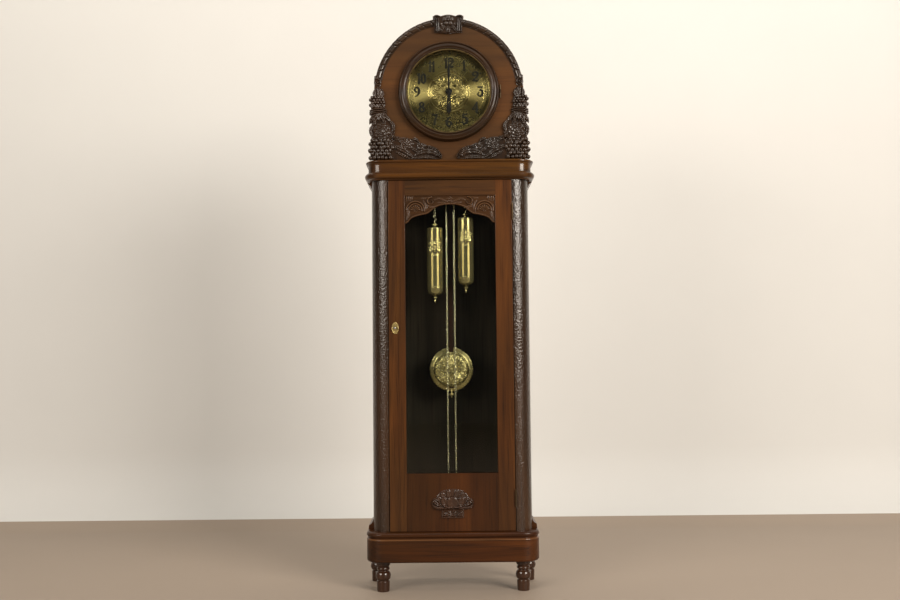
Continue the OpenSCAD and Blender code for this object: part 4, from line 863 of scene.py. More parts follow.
# ------------------------------------------------------------------ valance of the door
def valance():
    r = relief_grid(-158.4, 158.4, 1272, 1374, 1.0)
    half = [(158, 1277), (150, 1279), (141, 1290), (128, 1298), (113, 1303), (96, 1307), (84, 1309), (76, 1313), (68, 1319), (56, 1329), (44, 1336), (22, 1341.5), (0, 1343)]
    low = spline([(x, z, 0) for x, z in half], 60)[:, :2]
    poly = [(158, 1373)] + [tuple(p) for p in low] + [(-p[0], p[1]) for p in low[::-1]] + [(-158, 1373)]
    r.ground(poly, 8.0, 1.2)
    for s in (-1, 1):
        # bead along the lower edge
        r.stroke([(s * p[0], p[1] + 2.4, 2.1, 2.6) for p in low[2::4]], 60, 7.6, "round", rim=0.9)
        # shell
        cx, cz = s * 121, 1322
        for R, w, h in ((32, 3.0, 5.2), (23.5, 2.5, 4.6)):
            a = np.radians(np.linspace(-5, 178, 12))
            r.stroke([(cx + R * math.cos(t), cz + R * math.sin(t) * 0.98, w, h) for t in a], 40, 7.6, "round", rim=0.95)
        for j in range(7):
            t = math.radians(12 + 26 * j)
            r.stroke([(cx + 5 * math.cos(t), cz + 5 * math.sin(t), 1.2, 3.0), (cx + 12.5 * math.cos(t), cz + 12.5 * math.sin(t), 2.5, 5.0), (cx + 17.5 * math.cos(t), cz + 17.5 * math.sin(t), 1.8, 3.6)], 14, 7.6, "round", rim=0.95)
        r.spiral(cx, cz - 2, 6.5, 1.2, 90, 1.7, 3.4, 7.8, sgn=s)
        # leaf under the shell
        r.stroke([(s * 150, 1290, 2, 2.5), (s * 146, 1304, 4.5, 3.6), (s * 147, 1322, 4.5, 3.6), (s * 150, 1342, 1.5, 2)], 24, 7.6, "leaf", veins=5, vein_h=.8, rim=0.95)
        # flutes in the corner
        for j, x in enumerate((133, 139.5, 146, 152)):
            r.stroke([(s * x, 1370.5, 1.9, 3.2), (s * x, 1363, 2.2, 3.4), (s * (x + 0.5), 1357 - j * 1.0, 1.2, 2)], 12, 7.8, "round", rim=0.95)
        # scroll and its leaf
        r.spiral(s * 66, 1352.5, 15.5, 0.95, 100 if s > 0 else 80, 3.2, 6.4, 7.8, sgn=-s, r_in=0.30)
        r.stroke([(s * 76, 1349, 2.2, 3.4), (s * 74, 1338, 4.2, 4.2), (s * 62, 1332, 4.0, 4.0), (s * 53, 1336, 1.2, 2)], 24, 7.8, "leaf", veins=5, vein_h=.8, rim=0.95)
        r.stroke([(s * 88, 1318, 1.5, 2.5), (s * 84, 1330, 4.2, 4.0), (s * 86, 1344, 3.6, 3.6), (s * 94, 1356, 1.2, 2)], 24, 7.8, "leaf", veins=5, vein_h=.8, rim=0.95)
        r.stroke([(s * 100, 1366, 1.2, 2), (s * 88, 1364, 3.2, 3.4), (s * 78, 1368, 2.2, 3), (s * 70, 1368.5, 1.0, 2)], 24, 7.8, "leaf", veins=5, vein_h=.8, rim=0.95)
        # stem towards the middle
        r.stroke([(s * 53, 1358, 1.6, 3), (s * 42, 1364, 2.6, 3.6), (s * 30, 1361, 3.4, 4.0), (s * 18, 1355, 3.0, 3.6), (s * 8, 1352, 1.4, 3)], 34, 7.8, "leaf", veins=6, vein_h=.8, rim=0.95)
        r.stroke([(s * 40, 1350, 1.2, 2.4), (s * 32, 1348, 3.0, 3.4), (s * 22, 1349, 2.4, 3), (s * 15, 1347, 1.0, 2)], 24, 7.8, "leaf", veins=5, vein_h=.7, rim=0.95)
    for j in range(5):
        a = 90 + 72 * j
        r.petal(5.6 * math.cos(math.radians(a)), 1361 + 5.6 * math.sin(math.radians(a)), a, 5.0, 4.6, 7.8, 3.6)
    r.ball(0, 1361, 2.6, 10, 2.4)
    return r

vo = relief_obj("valance_carving", valance(), -97.3, "wood_valance", "trunk_door")
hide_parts("door_valance")

# ------------------------------------------------------------------ flower basket on the door
def basket():
    r = relief_grid(-74, 74, 250, 358, 0.7)
    r.ground([(-37, 255), (37, 255), (39, 270), (37, 284), (56, 285), (68, 291), (70, 302), (66, 316), (54, 326), (48, 337), (36, 346), (16, 352.5), (0, 354), (-16, 352.5), (-36, 346), (-48, 337),
              (-54, 326), (-66, 316), (-70, 302), (-68, 291), (-56, 285), (-37, 284), (-39, 270)], 3.0, 2.0)
    # tray with a zigzag
    for z, w in ((257.6, 2.5), (281.6, 2.6)):
        r.stroke([(-37, z, w, 4.8), (0, z, w, 5.6), (37, z, w, 4.8)], 20, 3.5, "round")
    r.stroke([(9 * math.cos(a), 269.5 + 6.6 * math.sin(a), 2.3, 5.0) for a in np.linspace(0, 2 * math.pi, 9)[:-1]], 30, 3.5, "round", closed=True)
    for s in (-1, 1):
        r.stroke([(s * 33, 263.5, 2.2, 4.6), (s * 17, 264, 2.2, 4.8), (s * 17.5, 265, 2.2, 4.8)], 14, 3.5, "round")
        r.stroke([(s * 18, 264.5, 2.0, 4.8), (s * 32, 274.5, 2.2, 5.0)], 12, 3.5, "round")
        r.stroke([(s * 33, 275.3, 2.2, 4.8), (s * 17, 275.3, 2.2, 4.6)], 12, 3.5, "round")
    # rim leaves that curl up at both ends
    for s in (-1, 1):
        r.stroke([(s * 8, 288.5, 2.4, 6), (s * 26, 288, 4.4, 9), (s * 44, 289, 4.8, 8.5), (s * 58, 291, 5.4, 7.5), (s * 68, 298, 3.0, 5)], 30, 4.0, "fold")
        r.stroke([(s * 45, 297, 3, 6), (s * 55, 304, 6.8, 9), (s * 64, 311, 5.5, 8.5), (s * 69.5, 305, 2.6, 6), (s * 67, 299.5, 1.2, 4)], 30, 4.0, "leaf", veins=9, vein_h=1.4)
        r.stroke([(s * 47, 311, 2, 5), (s * 54, 317, 4.6, 7.5), (s * 62, 319, 3.4, 6.5), (s * 68, 315, 1, 3)], 24, 4.0, "leaf", veins=8, vein_h=1.2)
    # bud: outer petals first
    for s in (-1, 1):
        r.petal(s * 42, 313, 90 - s * 30, 19, 9.5, 2.5, 7.5, lift=0.9)
        r.petal(s * 32, 326, 90 - s * 20, 19, 8.6, 3.0, 8.5, lift=0.9)
    for s in (-1, 1):
        r.petal(s * 13.5, 333, 90 - s * 7, 19, 8.8, 3.6, 9.0, lift=0.92)
    for s in (-1, 1):
        r.petal(s * 28, 308, 90 - s * 22, 20, 12.5, 7.0, 8.2, lift=0.9)
    r.petal(0, 307, 90, 22, 21.5, 9.5, 8.6, lift=0.85)
    for s in (-1, 1):
        r.stroke([(s * 4, 292, 2.5, 9), (s * 15, 291, 4.0, 11), (s * 27, 295, 3.6, 10.5), (s * 34, 301, 1.4, 6)], 24, 5, "round")
    return r

bo = relief_obj("flower_basket", basket(), -109.9, "wood_basket", "trunk_door")
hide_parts("door_applique")

# ------------------------------------------------------------------ dial
CX, CZ = 0.0, 1742.0
def polar_grid(rs, n):
    t = np.linspace(0, 2 * math.pi, n, endpoint=False)
    R, T = np.meshgrid(rs, t, indexing="ij")
    return R, T

def polar_solid(R, T, Yf, cx, cz, back):
    """Closed turned solid with front surface Yf over (R, T); back is [(r, y)] from the rim to the middle."""
    nr, n = R.shape
    V = [np.stack([cx + R * np.cos(T), Yf, cz + R * np.sin(T)], 2).reshape(-1, 3)]
    F = []
    for i in range(nr - 1):
        for j in range(n):
            k = (j + 1) % n
            F.append([i * n + j, i * n + k, (i + 1) * n + k, (i + 1) * n + j])
    last, base = (nr - 1) * n, nr * n
    t = T[0]
    for r, y in back:
        V.append(np.stack([cx + r * np.cos(t), np.full(n, y), cz + r * np.sin(t)], 1))
        for j in range(n):
            k = (j + 1) % n
            F.append([last + j, last + k, base + k, base + j])
        last, base = base, base + n
    if back[-1][0] == R[0, 0]:     # a hole: close the ring to the first row
        for j in range(n):
            k = (j + 1) % n
            F.append([last + j, last + k, k, j])
    else:
        F.append([last + j for j in range(n)])
        F.append([j for j in range(n)][::-1])
    return np.concatenate(V), F

rs = np.concatenate([np.arange(6.2, 62, 0.8), np.arange(62, 76, 0.45), np.arange(76, 120, 2.5), np.arange(120, 150, 0.7), [150]])
R, T = polar_grid(rs, 420)
dr = Relief(R * np.cos(T), R * np.sin(T))
dr.F[:] = 1
for j in range(8):
    a = math.radians(45 * j + 22.5)
    def at(r, o):
        return (r * math.cos(a) - o * math.sin(a), r * math.sin(a) + o * math.cos(a))
    for s in (-1, 1):
        dr.stroke([(*at(24, s * 1.5), 0.9, 0.5), (*at(32, s * 4.5), 1.7, 0.9), (*at(41, s * 9.5), 2.0, 1.0), (*at(49, s * 8.5), 1.8, 1.0), (*at(50, s * 2.5), 1.5, 0.8), (*at(44, s * 2.2), 0.9, 0.5)], 24, 0.05, "round", rim=0.9)
        dr.stroke([(*at(34, s * 11.5), 0.6, 0.4), (*at(42, s * 16), 1.8, 0.9), (*at(53, s * 15), 1.6, 0.8), (*at(57, s * 9), 0.7, 0.4)], 18, 0.05, "round", rim=0.9)
    dr.stroke([(*at(27, 0), 0.7, 0.5), (*at(36, 0), 1.7, 0.9), (*at(42, 0), 0.6, 0.4)], 12, 0.05, "round", rim=0.9)
    dr.ball(*at(55.5, 0), 2.6, 0.05, 1.0)
H = dr.H.copy()
H += np.where(R < 26, 0.55 * np.clip((26 - R) / 3, 0, 1) * (0.5 + 0.5 * np.cos(T * 32)) * np.clip((R - 7) / 4, 0, 1), 0)
H += 0.10 * np.sin(R * 2.2) * (R > 28) * (R < 61)
for c, w, h in ((63.5, 1.3, 1.1), (73.0, 2.0, 1.5), (123.2, 0.7, 0.35), (134.8, 0.7, 0.35)):
    H += h * np.sqrt(np.clip(1 - ((R - c) / w) ** 2, 0, 1))
H -= 0.5 * np.exp(-((R - 68.2) / 2.4) ** 2)
H += 0.6 * np.clip((R - 138) / 6, 0, 1) ** 2
V, F = polar_solid(R, T, -103.0 - H, CX, CZ, [(150, -100.5), (rs[0], -100.5)])
V2, F2 = clean(V, F)
do = obj("dial_face", V2, F2, "dial", "root", auto=70)
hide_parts("dial_plate")
fp = []
for x in (-54, 54):
    for z in (1690, 1794):
        fp.append(revolve([(0, -100.6), (3, -100.6), (3, -91), (2.4, -90.2), (2.4, -84), (0, -84)], 16, (x, 0, z), "Y"))
V, F = join(fp)
V, F = clean(V, F)
fo = obj("dial_feet", V, F, "brass_move", "root", auto=40)
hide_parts("dial_plate")

DIGIT = {
    "1": ([[(-6.5, 9.5, .9), (-3.2, 12.5, 1.6), (0.2, 16.8, 2.2)], [(0.6, 17, 2.3), (0.4, 5, 2.3), (0.2, -8, 2.7), (0, -17, 3.1)]], 12),
    "2": ([[(1.0, 6.0, 1.3), (-3.0, 3.6, 1.7), (-7.8, 6.6, 2.1), (-7.0, 13.6, 2.3), (0, 16.9, 2.2), (7.0, 14.0, 2.9), (8.2, 6.6, 3.1), (4.2, -1.5, 2.6), (-3.0, -8.0, 1.8), (-8.2, -13.2, 1.4)],
           [(-9.8, -14.6, 1.8), (-2, -13.6, 2.8), (5.5, -14.8, 2.9), (10.5, -11.6, 1.8)]], 20),
    "3": ([[(-8, 16, 1.6), (0, 15.5, 2.3), (8.2, 16.2, 1.7)], [(7.6, 15.8, 1.3), (3.5, 9.5, 1.3), (-1.0, 3.8, 1.4)],
           [(-1.0, 3.8, 1.5), (5.4, 3.4, 2.5), (8.6, -3.2, 3.4), (7.0, -11.8, 3.2), (0.5, -16.6, 2.3), (-6.6, -13.4, 2.1), (-8.2, -7.5, 2.0), (-4.2, -4.4, 1.4)]], 20),
    "4": ([[(3.6, 17.2, 1.5), (-3.5, 5.5, 1.4), (-10.5, -5.5, 1.5)], [(-10.8, -6.4, 1.9), (0, -6.0, 2.0), (10, -6.6, 1.7)], [(4.2, 17, 2.4), (4.0, 0, 2.8), (4.0, -17, 3.2)]], 20),
    "5": ([[(-5.2, 15.5, 1.7), (1.5, 15.0, 2.4), (8.8, 16.6, 1.5)], [(-4.8, 15.5, 1.5), (-5.8, 9, 1.4), (-6.4, 3.2, 1.4)],
           [(-6.4, 3.0, 1.2), (-0.5, 5.4, 1.9), (6.6, 2.0, 3.1), (8.2, -6.0, 3.4), (4.0, -14.0, 2.7), (-2.4, -16.8, 2.1), (-7.8, -13.2, 1.9), (-7.6, -8.6, 1.6)]], 18),
    "6": ([[(6.8, 15.6, 1.3), (0.6, 13.4, 2.0), (-5.6, 5.2, 3.0), (-7.6, -4.6, 3.3), (-4.6, -13.6, 2.7), (0.8, -16.8, 1.9), (6.6, -12.8, 2.7), (7.4, -5.6, 2.8), (2.8, -0.2, 1.9), (-3.0, -1.2, 1.4), (-6.0, -4.6, 1.2)]], 18),
    "7": ([[(-9.2, 14.2, 1.3), (-8.4, 16.4, 1.8), (0, 15.4, 2.5), (9.6, 16.4, 1.5)], [(8.8, 15.6, 1.4), (3.4, 7.2, 2.0), (-0.6, -4, 2.8), (-2.2, -17, 3.3)]], 19),
    "8": ([[(0, 1.4, 1.9), (5.6, 5.4, 2.6), (5.8, 12.8, 2.3), (0, 16.9, 1.7), (-5.8, 12.8, 2.5), (-5.6, 6.0, 2.6), (0, 1.4, 2.2), (6.9, -4.2, 3.1), (6.8, -12.4, 3.0), (0, -17.0, 1.9), (-6.8, -12.4, 2.9), (-6.9, -4.2, 2.9), (0, 1.4, 1.9)]], 19),
    "9": ([[(-6.8, -15.6, 1.3), (-0.6, -13.4, 2.0), (5.6, -5.2, 3.0), (7.6, 4.6, 3.3), (4.6, 13.6, 2.7), (-0.8, 16.8, 1.9), (-6.6, 12.8, 2.7), (-7.4, 5.6, 2.8), (-2.8, 0.2, 1.9), (3.0, 1.2, 1.4), (6.0, 4.6, 1.2)]], 18),
    "0": ([[(0, 17.0, 1.8), (5.9, 10.5, 2.7), (7.3, 0, 3.2), (5.9, -10.5, 2.7), (0, -17.0, 1.8), (-5.9, -10.5, 2.7), (-7.3, 0, 3.2), (-5.9, 10.5, 2.7), (0, 17.0, 1.8)]], 19),
}
PLACE = {"12": (1, 103), "1": (55, 94), "2": (94, 53), "3": (110.5, 0), "4": (94, -57), "5": (55, -97), "6": (-1, -106), "7": (-49, -98), "8": (-96, -54), "9": (-112, 0), "10": (-95, 48), "11": (-59, 91)}
for word, (nx, nz) in PLACE.items():
    r = relief_grid(nx - 25, nx + 25, nz - 21, nz + 21, 0.62)
    wide = sum(DIGIT[c][1] for c in word)
    x = nx - wide / 2
    for c in word:
        strokes, adv = DIGIT[c]
        sq = 0.9 if len(word) == 2 else 1.0
        for st in strokes:
            r.stroke([(x + adv / 2 + px * sq, nz + pz, w * 1.28 + 0.15, 0.45) for px, pz, w in st], 12 * len(st), 0.75, "round", rim=0.85)
        x += adv
    V, F = relief_mesh(r, -102.7)
    V[:, 2] += CZ
    o = obj("dial_number_" + word, V, F, "ink", "root", auto=50)
    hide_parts("dial_plate")
dots = []
for j in range(60):
    a = math.radians(6 * j)
    rr = 2.3 if j % 5 == 0 else 1.75
    dots.append(revolve([(0, -104.1), (rr * 0.7, -103.95), (rr, -103.4), (rr, -102.8), (0, -102.8)], 10, (129 * math.sin(a), 0, CZ + 129 * math.cos(a)), "Y"))
V, F = join(dots)
V, F = clean(V, F, 1e-5)
o = obj("dial_minute_dots", V, F, "ink", "root", auto=50)
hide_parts("dial_plate")

# ------------------------------------------------------------------ weights
WR, WH, WY = 28.3, 239.0, -46.0
def weight_mesh(cx, cz):
    n = 192
    th = np.linspace(0, 2 * math.pi, n, endpoint=False)
    prof = [(0.0, -27.0), (1.6, -26.4), (2.9, -24), (3.2, -21.5), (2.7, -18), (2.2, -15.2), (2.6, -13.6), (7.0, -11.4), (8.1, -10.2), (8.2, -8.8), (7.1, -7.2), (3.6, -5.6), (3.5, -4.4), (4.6, -2.6), (11, -0.4)]
    for k in range(9):
        a = math.radians(-75 + 71 * k / 8)
        prof.append((WR - 18 + 17.2 * math.cos(a), 18 + 17.2 * math.sin(a)))
    prof += [(WR - 0.9, 24.0), (WR - 0.1, 25.2), (WR, 27.2), (WR - 0.1, 29.2), (WR - 0.9, 30.4), (WR - 0.5, 31.2)]
    prof += [(WR - 0.5, z) for z in (31.8, 32.8, 70, 110, 136, 136.8, 137.5)]
    prof += [(WR - 0.05, 138.4), (WR, 139.5), (WR - 0.1, 140.6), (WR - 1.0, 141.6)]
    band0 = len(prof)
    bz = np.arange(142.2, 193.3, 0.6)
    prof += [(WR - 1.0, z) for z in bz]
    prof += [(WR - 0.1, 194.4), (WR, 195.5), (WR - 0.05, 196.6), (WR - 0.5, 197.5), (WR - 0.5, 198.2), (WR - 0.5, 199.2), (WR - 0.5, 229.4), (WR - 0.5, 230.3), (WR - 0.5, 231)]
    prof += [(WR - 0.1, 232.2), (WR, 234), (WR - 0.1, 236.6), (WR - 1.2, 238.6), (WR - 3.2, 239.8), (22, 241.0), (14, 242.2), (9, 243.2), (6.2, 244.4), (5.0, 245.8), (5.0, 247.2), (6.4, 248.0),
             (10.8, 248.6), (11.4, 249.1), (11.5, 249.5), (11.5, 252.3), (11.4, 252.7), (10.6, 253.2), (5.2, 253.9), (3.4, 254.8), (2.3, 256.4), (1.9, 258.6), (1.9, 262)]
    pr = np.array(prof)
    rad = np.repeat(pr[:, :1], n, 1)
    U, Z = np.meshgrid(th * WR, bz, indexing="xy")
    rel = Relief(U, Z)
    per = 2 * math.pi * WR / 6
    for k in range(6):
        u0 = (k + 0.5) * per
        for s in (-1, 1):
            rel.stroke([(u0, 145, 0.8, .5), (u0 + s * 5, 149, 1.6, .8), (u0 + s * 9.5, 156, 1.9, .9), (u0 + s * 7.5, 163, 1.7, .9), (u0 + s * 3, 161, 1.0, .7)], 22, 0.05, "round", rim=0.9)
            rel.stroke([(u0 + s * 1, 166, 0.8, .5), (u0 + s * 6, 171, 1.8, .9), (u0 + s * 11, 170, 1.5, .8), (u0 + s * 13.2, 164, 0.7, .4)], 20, 0.05, "round", rim=0.9)
            rel.stroke([(u0 + s * 1, 176, 0.8, .5), (u0 + s * 4.5, 183, 1.8, .9), (u0 + s * 9.5, 187, 1.5, .8), (u0 + s * 12.8, 182, 0.7, .4)], 20, 0.05, "round", rim=0.9)
            rel.stroke([(u0 + s * 12.5, 147, 0.7, .4), (u0 + s * 13, 154, 1.3, .7), (u0 + s * 12, 160, 0.5, .4)], 12, 0.05, "round", rim=0.9)
        rel.stroke([(u0, 152, 0.7, .5), (u0, 168, 1.7, .9), (u0, 180, 1.5, .9), (u0, 189.5, 0.5, .4)], 20, 0.05, "round", rim=0.9)
        rel.ball(u0 + 9.5, 176.5, 1.5, 0.05, 0.9)
        rel.ball(u0 - 9.5, 176.5, 1.5, 0.05, 0.9)
    rad[band0:band0 + len(bz)] += np.clip(rel.H, 0, 0.95) - 0.12
    zz = np.repeat(pr[:, 1:], n, 1)
    V = np.stack([cx + rad * np.cos(th), WY + rad * np.sin(th), cz + zz], 2)
    m = len(pr)
    V = V.reshape(-1, 3)
    F = [[i * n + j, i * n + (j + 1) % n, (i + 1) * n + (j + 1) % n, (i + 1) * n + j] for i in range(m - 1) for j in range(n)]
    F.append([(m - 1) * n + j for j in range(n)])
    V, F = clean(V, F, 1e-4)
    # hook: wire from the rod, round an open eye
    pts = [(0, 261), (0.2, 264.5), (3.0, 267.2), (5.4, 270.4), (4.0, 273.2), (0.6, 275.0), (-3.6, 277.6), (-4.6, 281.4), (-1.6, 284.6), (2.4, 283.6), (3.2, 280.6)]
    c = spline([(cx + x, WY, cz + z) for x, z in pts], 44)
    hook = clean(*tube(c, np.concatenate([np.full(38, 1.35), np.linspace(1.3, 0.8, 6)]), 10))
    return V, F, hook

for nm, body, cx, cz in (("time", "time_weight", 54.5, 1061.0), ("strike", "strike_weight", -54.5, 1026.0)):
    V, F, hook = weight_mesh(cx, cz)
    o = obj(nm + "_weight_tube", V, F, "brass_weight", body, auto=48)
    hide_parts(nm + "_weight")
    o = obj(nm + "_weight_hook", hook[0], hook[1], "brass_chain", body, auto=60)
    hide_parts(nm + "_weight")

# ------------------------------------------------------------------ pendulum bob
rs = np.concatenate([np.arange(0.6, 56, 0.75), np.arange(56, 62.2, 0.4), [62.2, 62.6], np.arange(63.2, 78, 1.2), [78]])
R, T = polar_grid(rs, 336)
def lerp(x, pts):
    a = np.array(pts)
    return np.interp(x, a[:, 0], a[:, 1])
Y0 = np.where(R <= 62.2, lerp(R, [(0, -3), (20, -2.4), (45, 0.2), (54, 2.4), (58, 3.8), (60.5, 5.0), (62.2, 7.5)]), lerp(R, [(62.2, 15.2), (63, 15.6), (66, 16.5), (75, 18), (77, 19), (78, 21)]))
br = Relief(R * np.cos(T), R * np.sin(T))
br.F[:] = 1
for j in range(8):
    a = math.radians(45 * j + 22.5)
    def at(r, o):
        return (r * math.cos(a) - o * math.sin(a), r * math.sin(a) + o * math.cos(a))
    for s in (-1, 1):
        br.stroke([(*at(20, s * 1.2), 0.9, 0.7), (*at(28, s * 4), 2.0, 1.5), (*at(37, s * 10.5), 2.3, 1.6), (*at(45, s * 11), 2.0, 1.5), (*at(47.5, s * 5.5), 1.7, 1.3), (*at(43, s * 3.5), 1.0, 0.8)], 26, 0.05, "round", rim=0.9)
        br.stroke([(*at(30, s * 10), 0.7, 0.5), (*at(39, s * 15.5), 1.9, 1.3), (*at(49, s * 16.5), 1.7, 1.2), (*at(53, s * 10), 0.7, 0.6)], 18, 0.05, "round", rim=0.9)
    br.stroke([(*at(24, 0), 0.8, 0.8), (*at(34, 0), 2.2, 1.7), (*at(41, 0), 1.7, 1.3), (*at(46, 0), 0.6, 0.5)], 16, 0.05, "round", rim=0.9)
for j in range(4):
    a = math.radians(90 * j + 45)
    br.stroke([(18 * math.cos(a), 18 * math.sin(a), 1.3, 1.4), (52 * math.cos(a), 52 * math.sin(a), 1.3, 1.4)], 10, 0.05, "round", rim=0.9)
for j in range(12):
    br.petal(10.0 * math.cos(math.radians(30 * j)), 10.0 * math.sin(math.radians(30 * j)), 30 * j, 6.2, 3.0, 0.1, 1.7)
br.ball(0, 0, 4.6, 0.2, 2.2)
H = br.H.copy()
H += 0.35 * (0.5 + 0.5 * np.cos(T * 48)) * (R > 20) * (R < 54) * (br.H < 0.2)
for c, w, h in ((18.6, 1.1, 1.2), (54.2, 1.0, 1.1), (57.6, 1.5, 1.6)):
    H += h * np.sqrt(np.clip(1 - ((R - c) / w) ** 2, 0, 1))
V, F = polar_solid(R, T, Y0 - H, 0, 764, [(78.0, 24), (77.2, 25.6), (74, 27), (50, 29), (12, 30)])
V, F = clean(V, F)
o = obj("pendulum_bob_disc", V, F, "brass_bob", "pendulum", auto=50)
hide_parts("pendulum_bob")

# ------------------------------------------------------------------ chains
def link(pos, tang, turn):
    """Oval chain link about pos, its length along tang (in the XZ plane), turned about it."""
    L, b, r = 4.95, 2.35, 0.78
    loop = []
    for k in range(7):
        a = math.pi * k / 6
        loop.append((b * math.cos(a), L - b + b * math.sin(a)))
    for k in range(7):
        a = math.pi + math.pi * k / 6
        loop.append((b * math.cos(a), -(L - b) + b * math.sin(a)))
    tang = np.asarray(tang, float)
    side = np.cross(tang, (0, 1.0, 0))
    out = np.cross(side, tang)
    u = math.cos(turn) * side + math.sin(turn) * out
    pts = [np.asarray(pos) + u * p + tang * q for p, q in loop]
    return tube(pts, r, 6, closed=True)

PITCH_L = 8.4
def chain_objs(nm, s, z_load, z_free, drop):
    x_load, x_free, xc, zt = s * 54.5, s * 13.5, s * 34.0, 1693.0
    # run down to the weight: made as it hangs with the weight right down, then pushed back
    zf = z_load - drop + 2.6
    parts, k = [], 0
    while zf < zt + 1:
        parts.append(link((x_load, WY, zf), (0, 0, 1), math.radians(45 if k % 2 else -45)))
        zf += PITCH_L
        k += 1
    V, F = join(parts)
    t = np.linspace(-0.2, 1, 4001)
    w = np.clip(t, 0, 1)
    fin = zt - 253 * t - drop * (3 * w ** 2 - 2 * w ** 3)
    z = V[:, 2]
    tt = np.interp(-z, -fin, t)
    V[:, 2] = np.where(z < zt - 253 - drop, z + drop, zt - 253 * tt)
    o = obj(nm + "_chain_load", V, F, "brass_chain", None)
    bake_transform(o)
    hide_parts(nm + "_chain")
    # free run down to the ring
    parts, k, zf = [], 0, z_free + 4.4
    while zf < zt + 1:
        parts.append(link((x_free, WY, zf), (0, 0, 1), math.radians(45 if k % 2 else -45)))
        zf += PITCH_L
        k += 1
    V, F = join(parts)
    o = obj(nm + "_chain_free", V, F, "brass_chain", None)
    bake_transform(o)
    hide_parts(nm + "_chain")
    parts = []
    for k in range(8):
        a = math.radians(180 / 8 * (k + 0.5))
        parts.append(link((xc + 20.5 * math.cos(a), WY, zt + 20.5 * math.sin(a)), (-math.sin(a), 0, math.cos(a)), math.radians(45 if k % 2 else -45)))
    V, F = join(parts)
    o = obj(nm + "_chain_top", V, F, "brass_chain", "root")
    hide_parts(nm + "_chain")

chain_objs("time", 1, 1342.5, 354.0, 840.0)
chain_objs("strike", -1, 1307.5, 389.0, 810.0)
give("brass_chain", "time_chain_ring", "strike_chain_ring")

# ------------------------------------------------------------------ escutcheon with a roped edge
r = relief_grid(-207.5, -181.5, 889, 931, 0.42)
r.ground([(-194.5 + 12 * math.cos(math.radians(a)), 910 + 20 * math.sin(math.radians(a))) for a in range(0, 360, 10)], 1.3, 0.8)
for k in range(34):
    a0 = 2 * math.pi * k / 34
    a1 = a0 + 0.2
    r.stroke([(-194.5 + 9.7 * math.cos(a0), 910 + 17.7 * math.sin(a0), 0.8, 0.9), (-194.5 + 11.6 * math.cos(a1), 910 + 19.6 * math.sin(a1), 0.8, 0.9)], 5, 1.2, "round", rim=0.9)
for s in (-1, 1):
    r.ball(-194.5, 910 + s * 13.2, 1.9, 1.2, 0.9)
    r.stroke([(-194.5 - 5, 910 + s * 8.5, 0.6, 0.4), (-194.5, 910 + s * 6.4, 0.9, 0.6), (-194.5 + 5, 910 + s * 8.5, 0.6, 0.4)], 10, 1.2, "round", rim=0.9)
r.F = np.minimum(r.F, np.hypot(r.X + 194.5, r.Z - 910) - 2.6)
V, F = relief_mesh(r, -110.0)
o = obj("escutcheon_plate", V, F, "brass_worn", "trunk_door", auto=60)
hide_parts("escutcheon")

# ------------------------------------------------------------------ light, floor, wall
def panel(x, y, z, w, h, L, aim, tint=(1.0, 0.935, 0.84)):
    d = bpy.data.lights.new("window", "AREA")
    d.shape, d.size, d.size_y = "RECTANGLE", w, h
    d.energy = L * math.pi * w * h
    d.color = tint
    o = bpy.data.objects.new("window", d)
    COL.objects.link(o)
    o.location = (x, y, z)
    o.rotation_euler = (Vector(aim) - Vector((x, y, z))).to_track_quat("-Z", "Y").to_euler()
    o.visible_camera = False
    return o

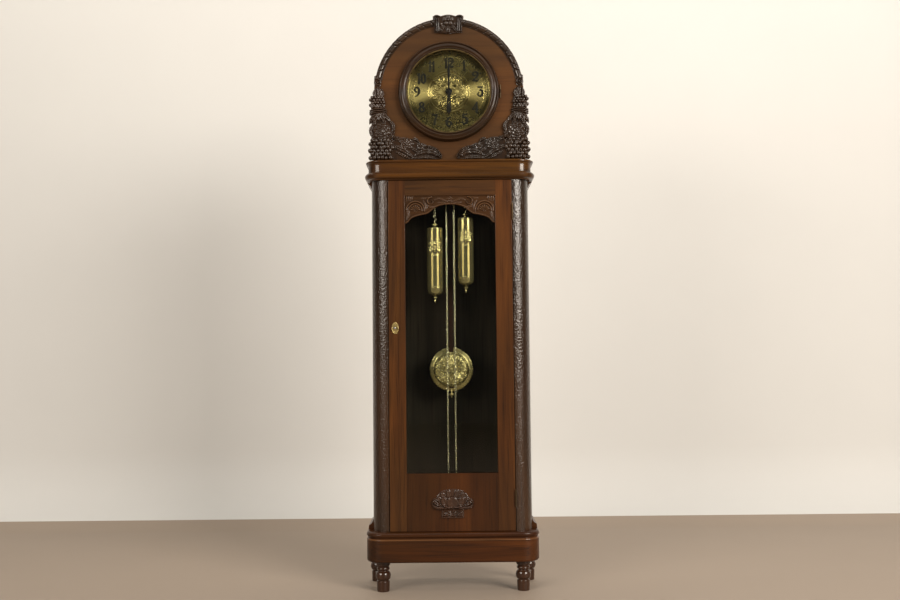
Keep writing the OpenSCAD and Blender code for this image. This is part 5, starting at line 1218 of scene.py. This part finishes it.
for sx, gain in ((-1, 0.80), (1, 1.30)):
    for z, L, tint in ((1.55, 2.1, (1.0, 0.80, 0.60)), (2.15, 15.0, (1.0, 0.91, 0.80)), (2.75, 12.5, (1.0, 0.935, 0.86)), (3.35, 11.0, (1.0, 0.935, 0.86)))[:4 if sx > 0 else 3]:
        panel(sx * 3.6, -4.1, z, 2.6, 0.60, L * gain * 1.22, (0, 0, 0.45 * z + 0.45), tint)
panel(0, -1.75, 3.35, 2.6, 1.1, 2.6, (0, 0.1, 1.1))
panel(0, 0.35, 3.7, 7.0, 0.5, 3.3, (0, 1.5, 0.75))

world = bpy.data.worlds.new("world")
bpy.context.scene.world = world
world.use_nodes = True
world.node_tree.nodes["Background"].inputs["Color"].default_value = (1.0, 0.95, 0.87, 1)
world.node_tree.nodes["Background"].inputs["Strength"].default_value = 0.07

def stage_mat(name, col, rough):
    w = NT(name)
    a = w.noise(w.coords((1, 1, 1)), 3.0, 3, 0.5)
    p = w.n("ShaderNodeBsdfPrincipled")
    p.inputs["Roughness"].default_value = rough
    w.link(w.mix(w.frange(a, 0.3, 0.7, 0.0, 1.0), tuple(c * 0.985 for c in col), col), p.inputs["Base Color"])
    tr = w.n("ShaderNodeBsdfTransparent")
    geo = w.n("ShaderNodeNewGeometry")
    mx = w.n("ShaderNodeMixShader")
    w.link(geo.outputs["Backfacing"], mx.inputs[0])
    w.link(p.outputs[0], mx.inputs[1])
    w.link(tr.outputs[0], mx.inputs[2])
    w.link(mx.outputs[0], w.out.inputs["Surface"])
    return w.m

def sheet(name, rows, mat):
    """Strip of the given (y, z) rows, x from -14 to 14 m, seen from the front and above."""
    V = [(x, y, z) for y, z in rows for x in (-14, 14)]
    F = [[2 * i, 2 * i + 1, 2 * i + 3, 2 * i + 2] for i in range(len(rows) - 1)]
    me = bpy.data.meshes.new(name)
    me.from_pydata(V, [], F)
    me.polygons.foreach_set("use_smooth", [True] * len(F))
    me.materials.append(mat)
    o = bpy.data.objects.new(name, me)
    COL.objects.link(o)
    return o

YW = 1.5
bend = [(YW - 0.35 + 0.35 * math.sin(math.radians(a)), 0.35 - 0.35 * math.cos(math.radians(a))) for a in range(0, 91, 9)]
sheet("floor", [(-9.0, 0.0)] + bend[:4], stage_mat("floor", (0.36, 0.29, 0.23), 0.6))
sheet("wall", bend[3:] + [(YW, 7.0)], stage_mat("wall", (0.725, 0.725, 0.708), 0.8))
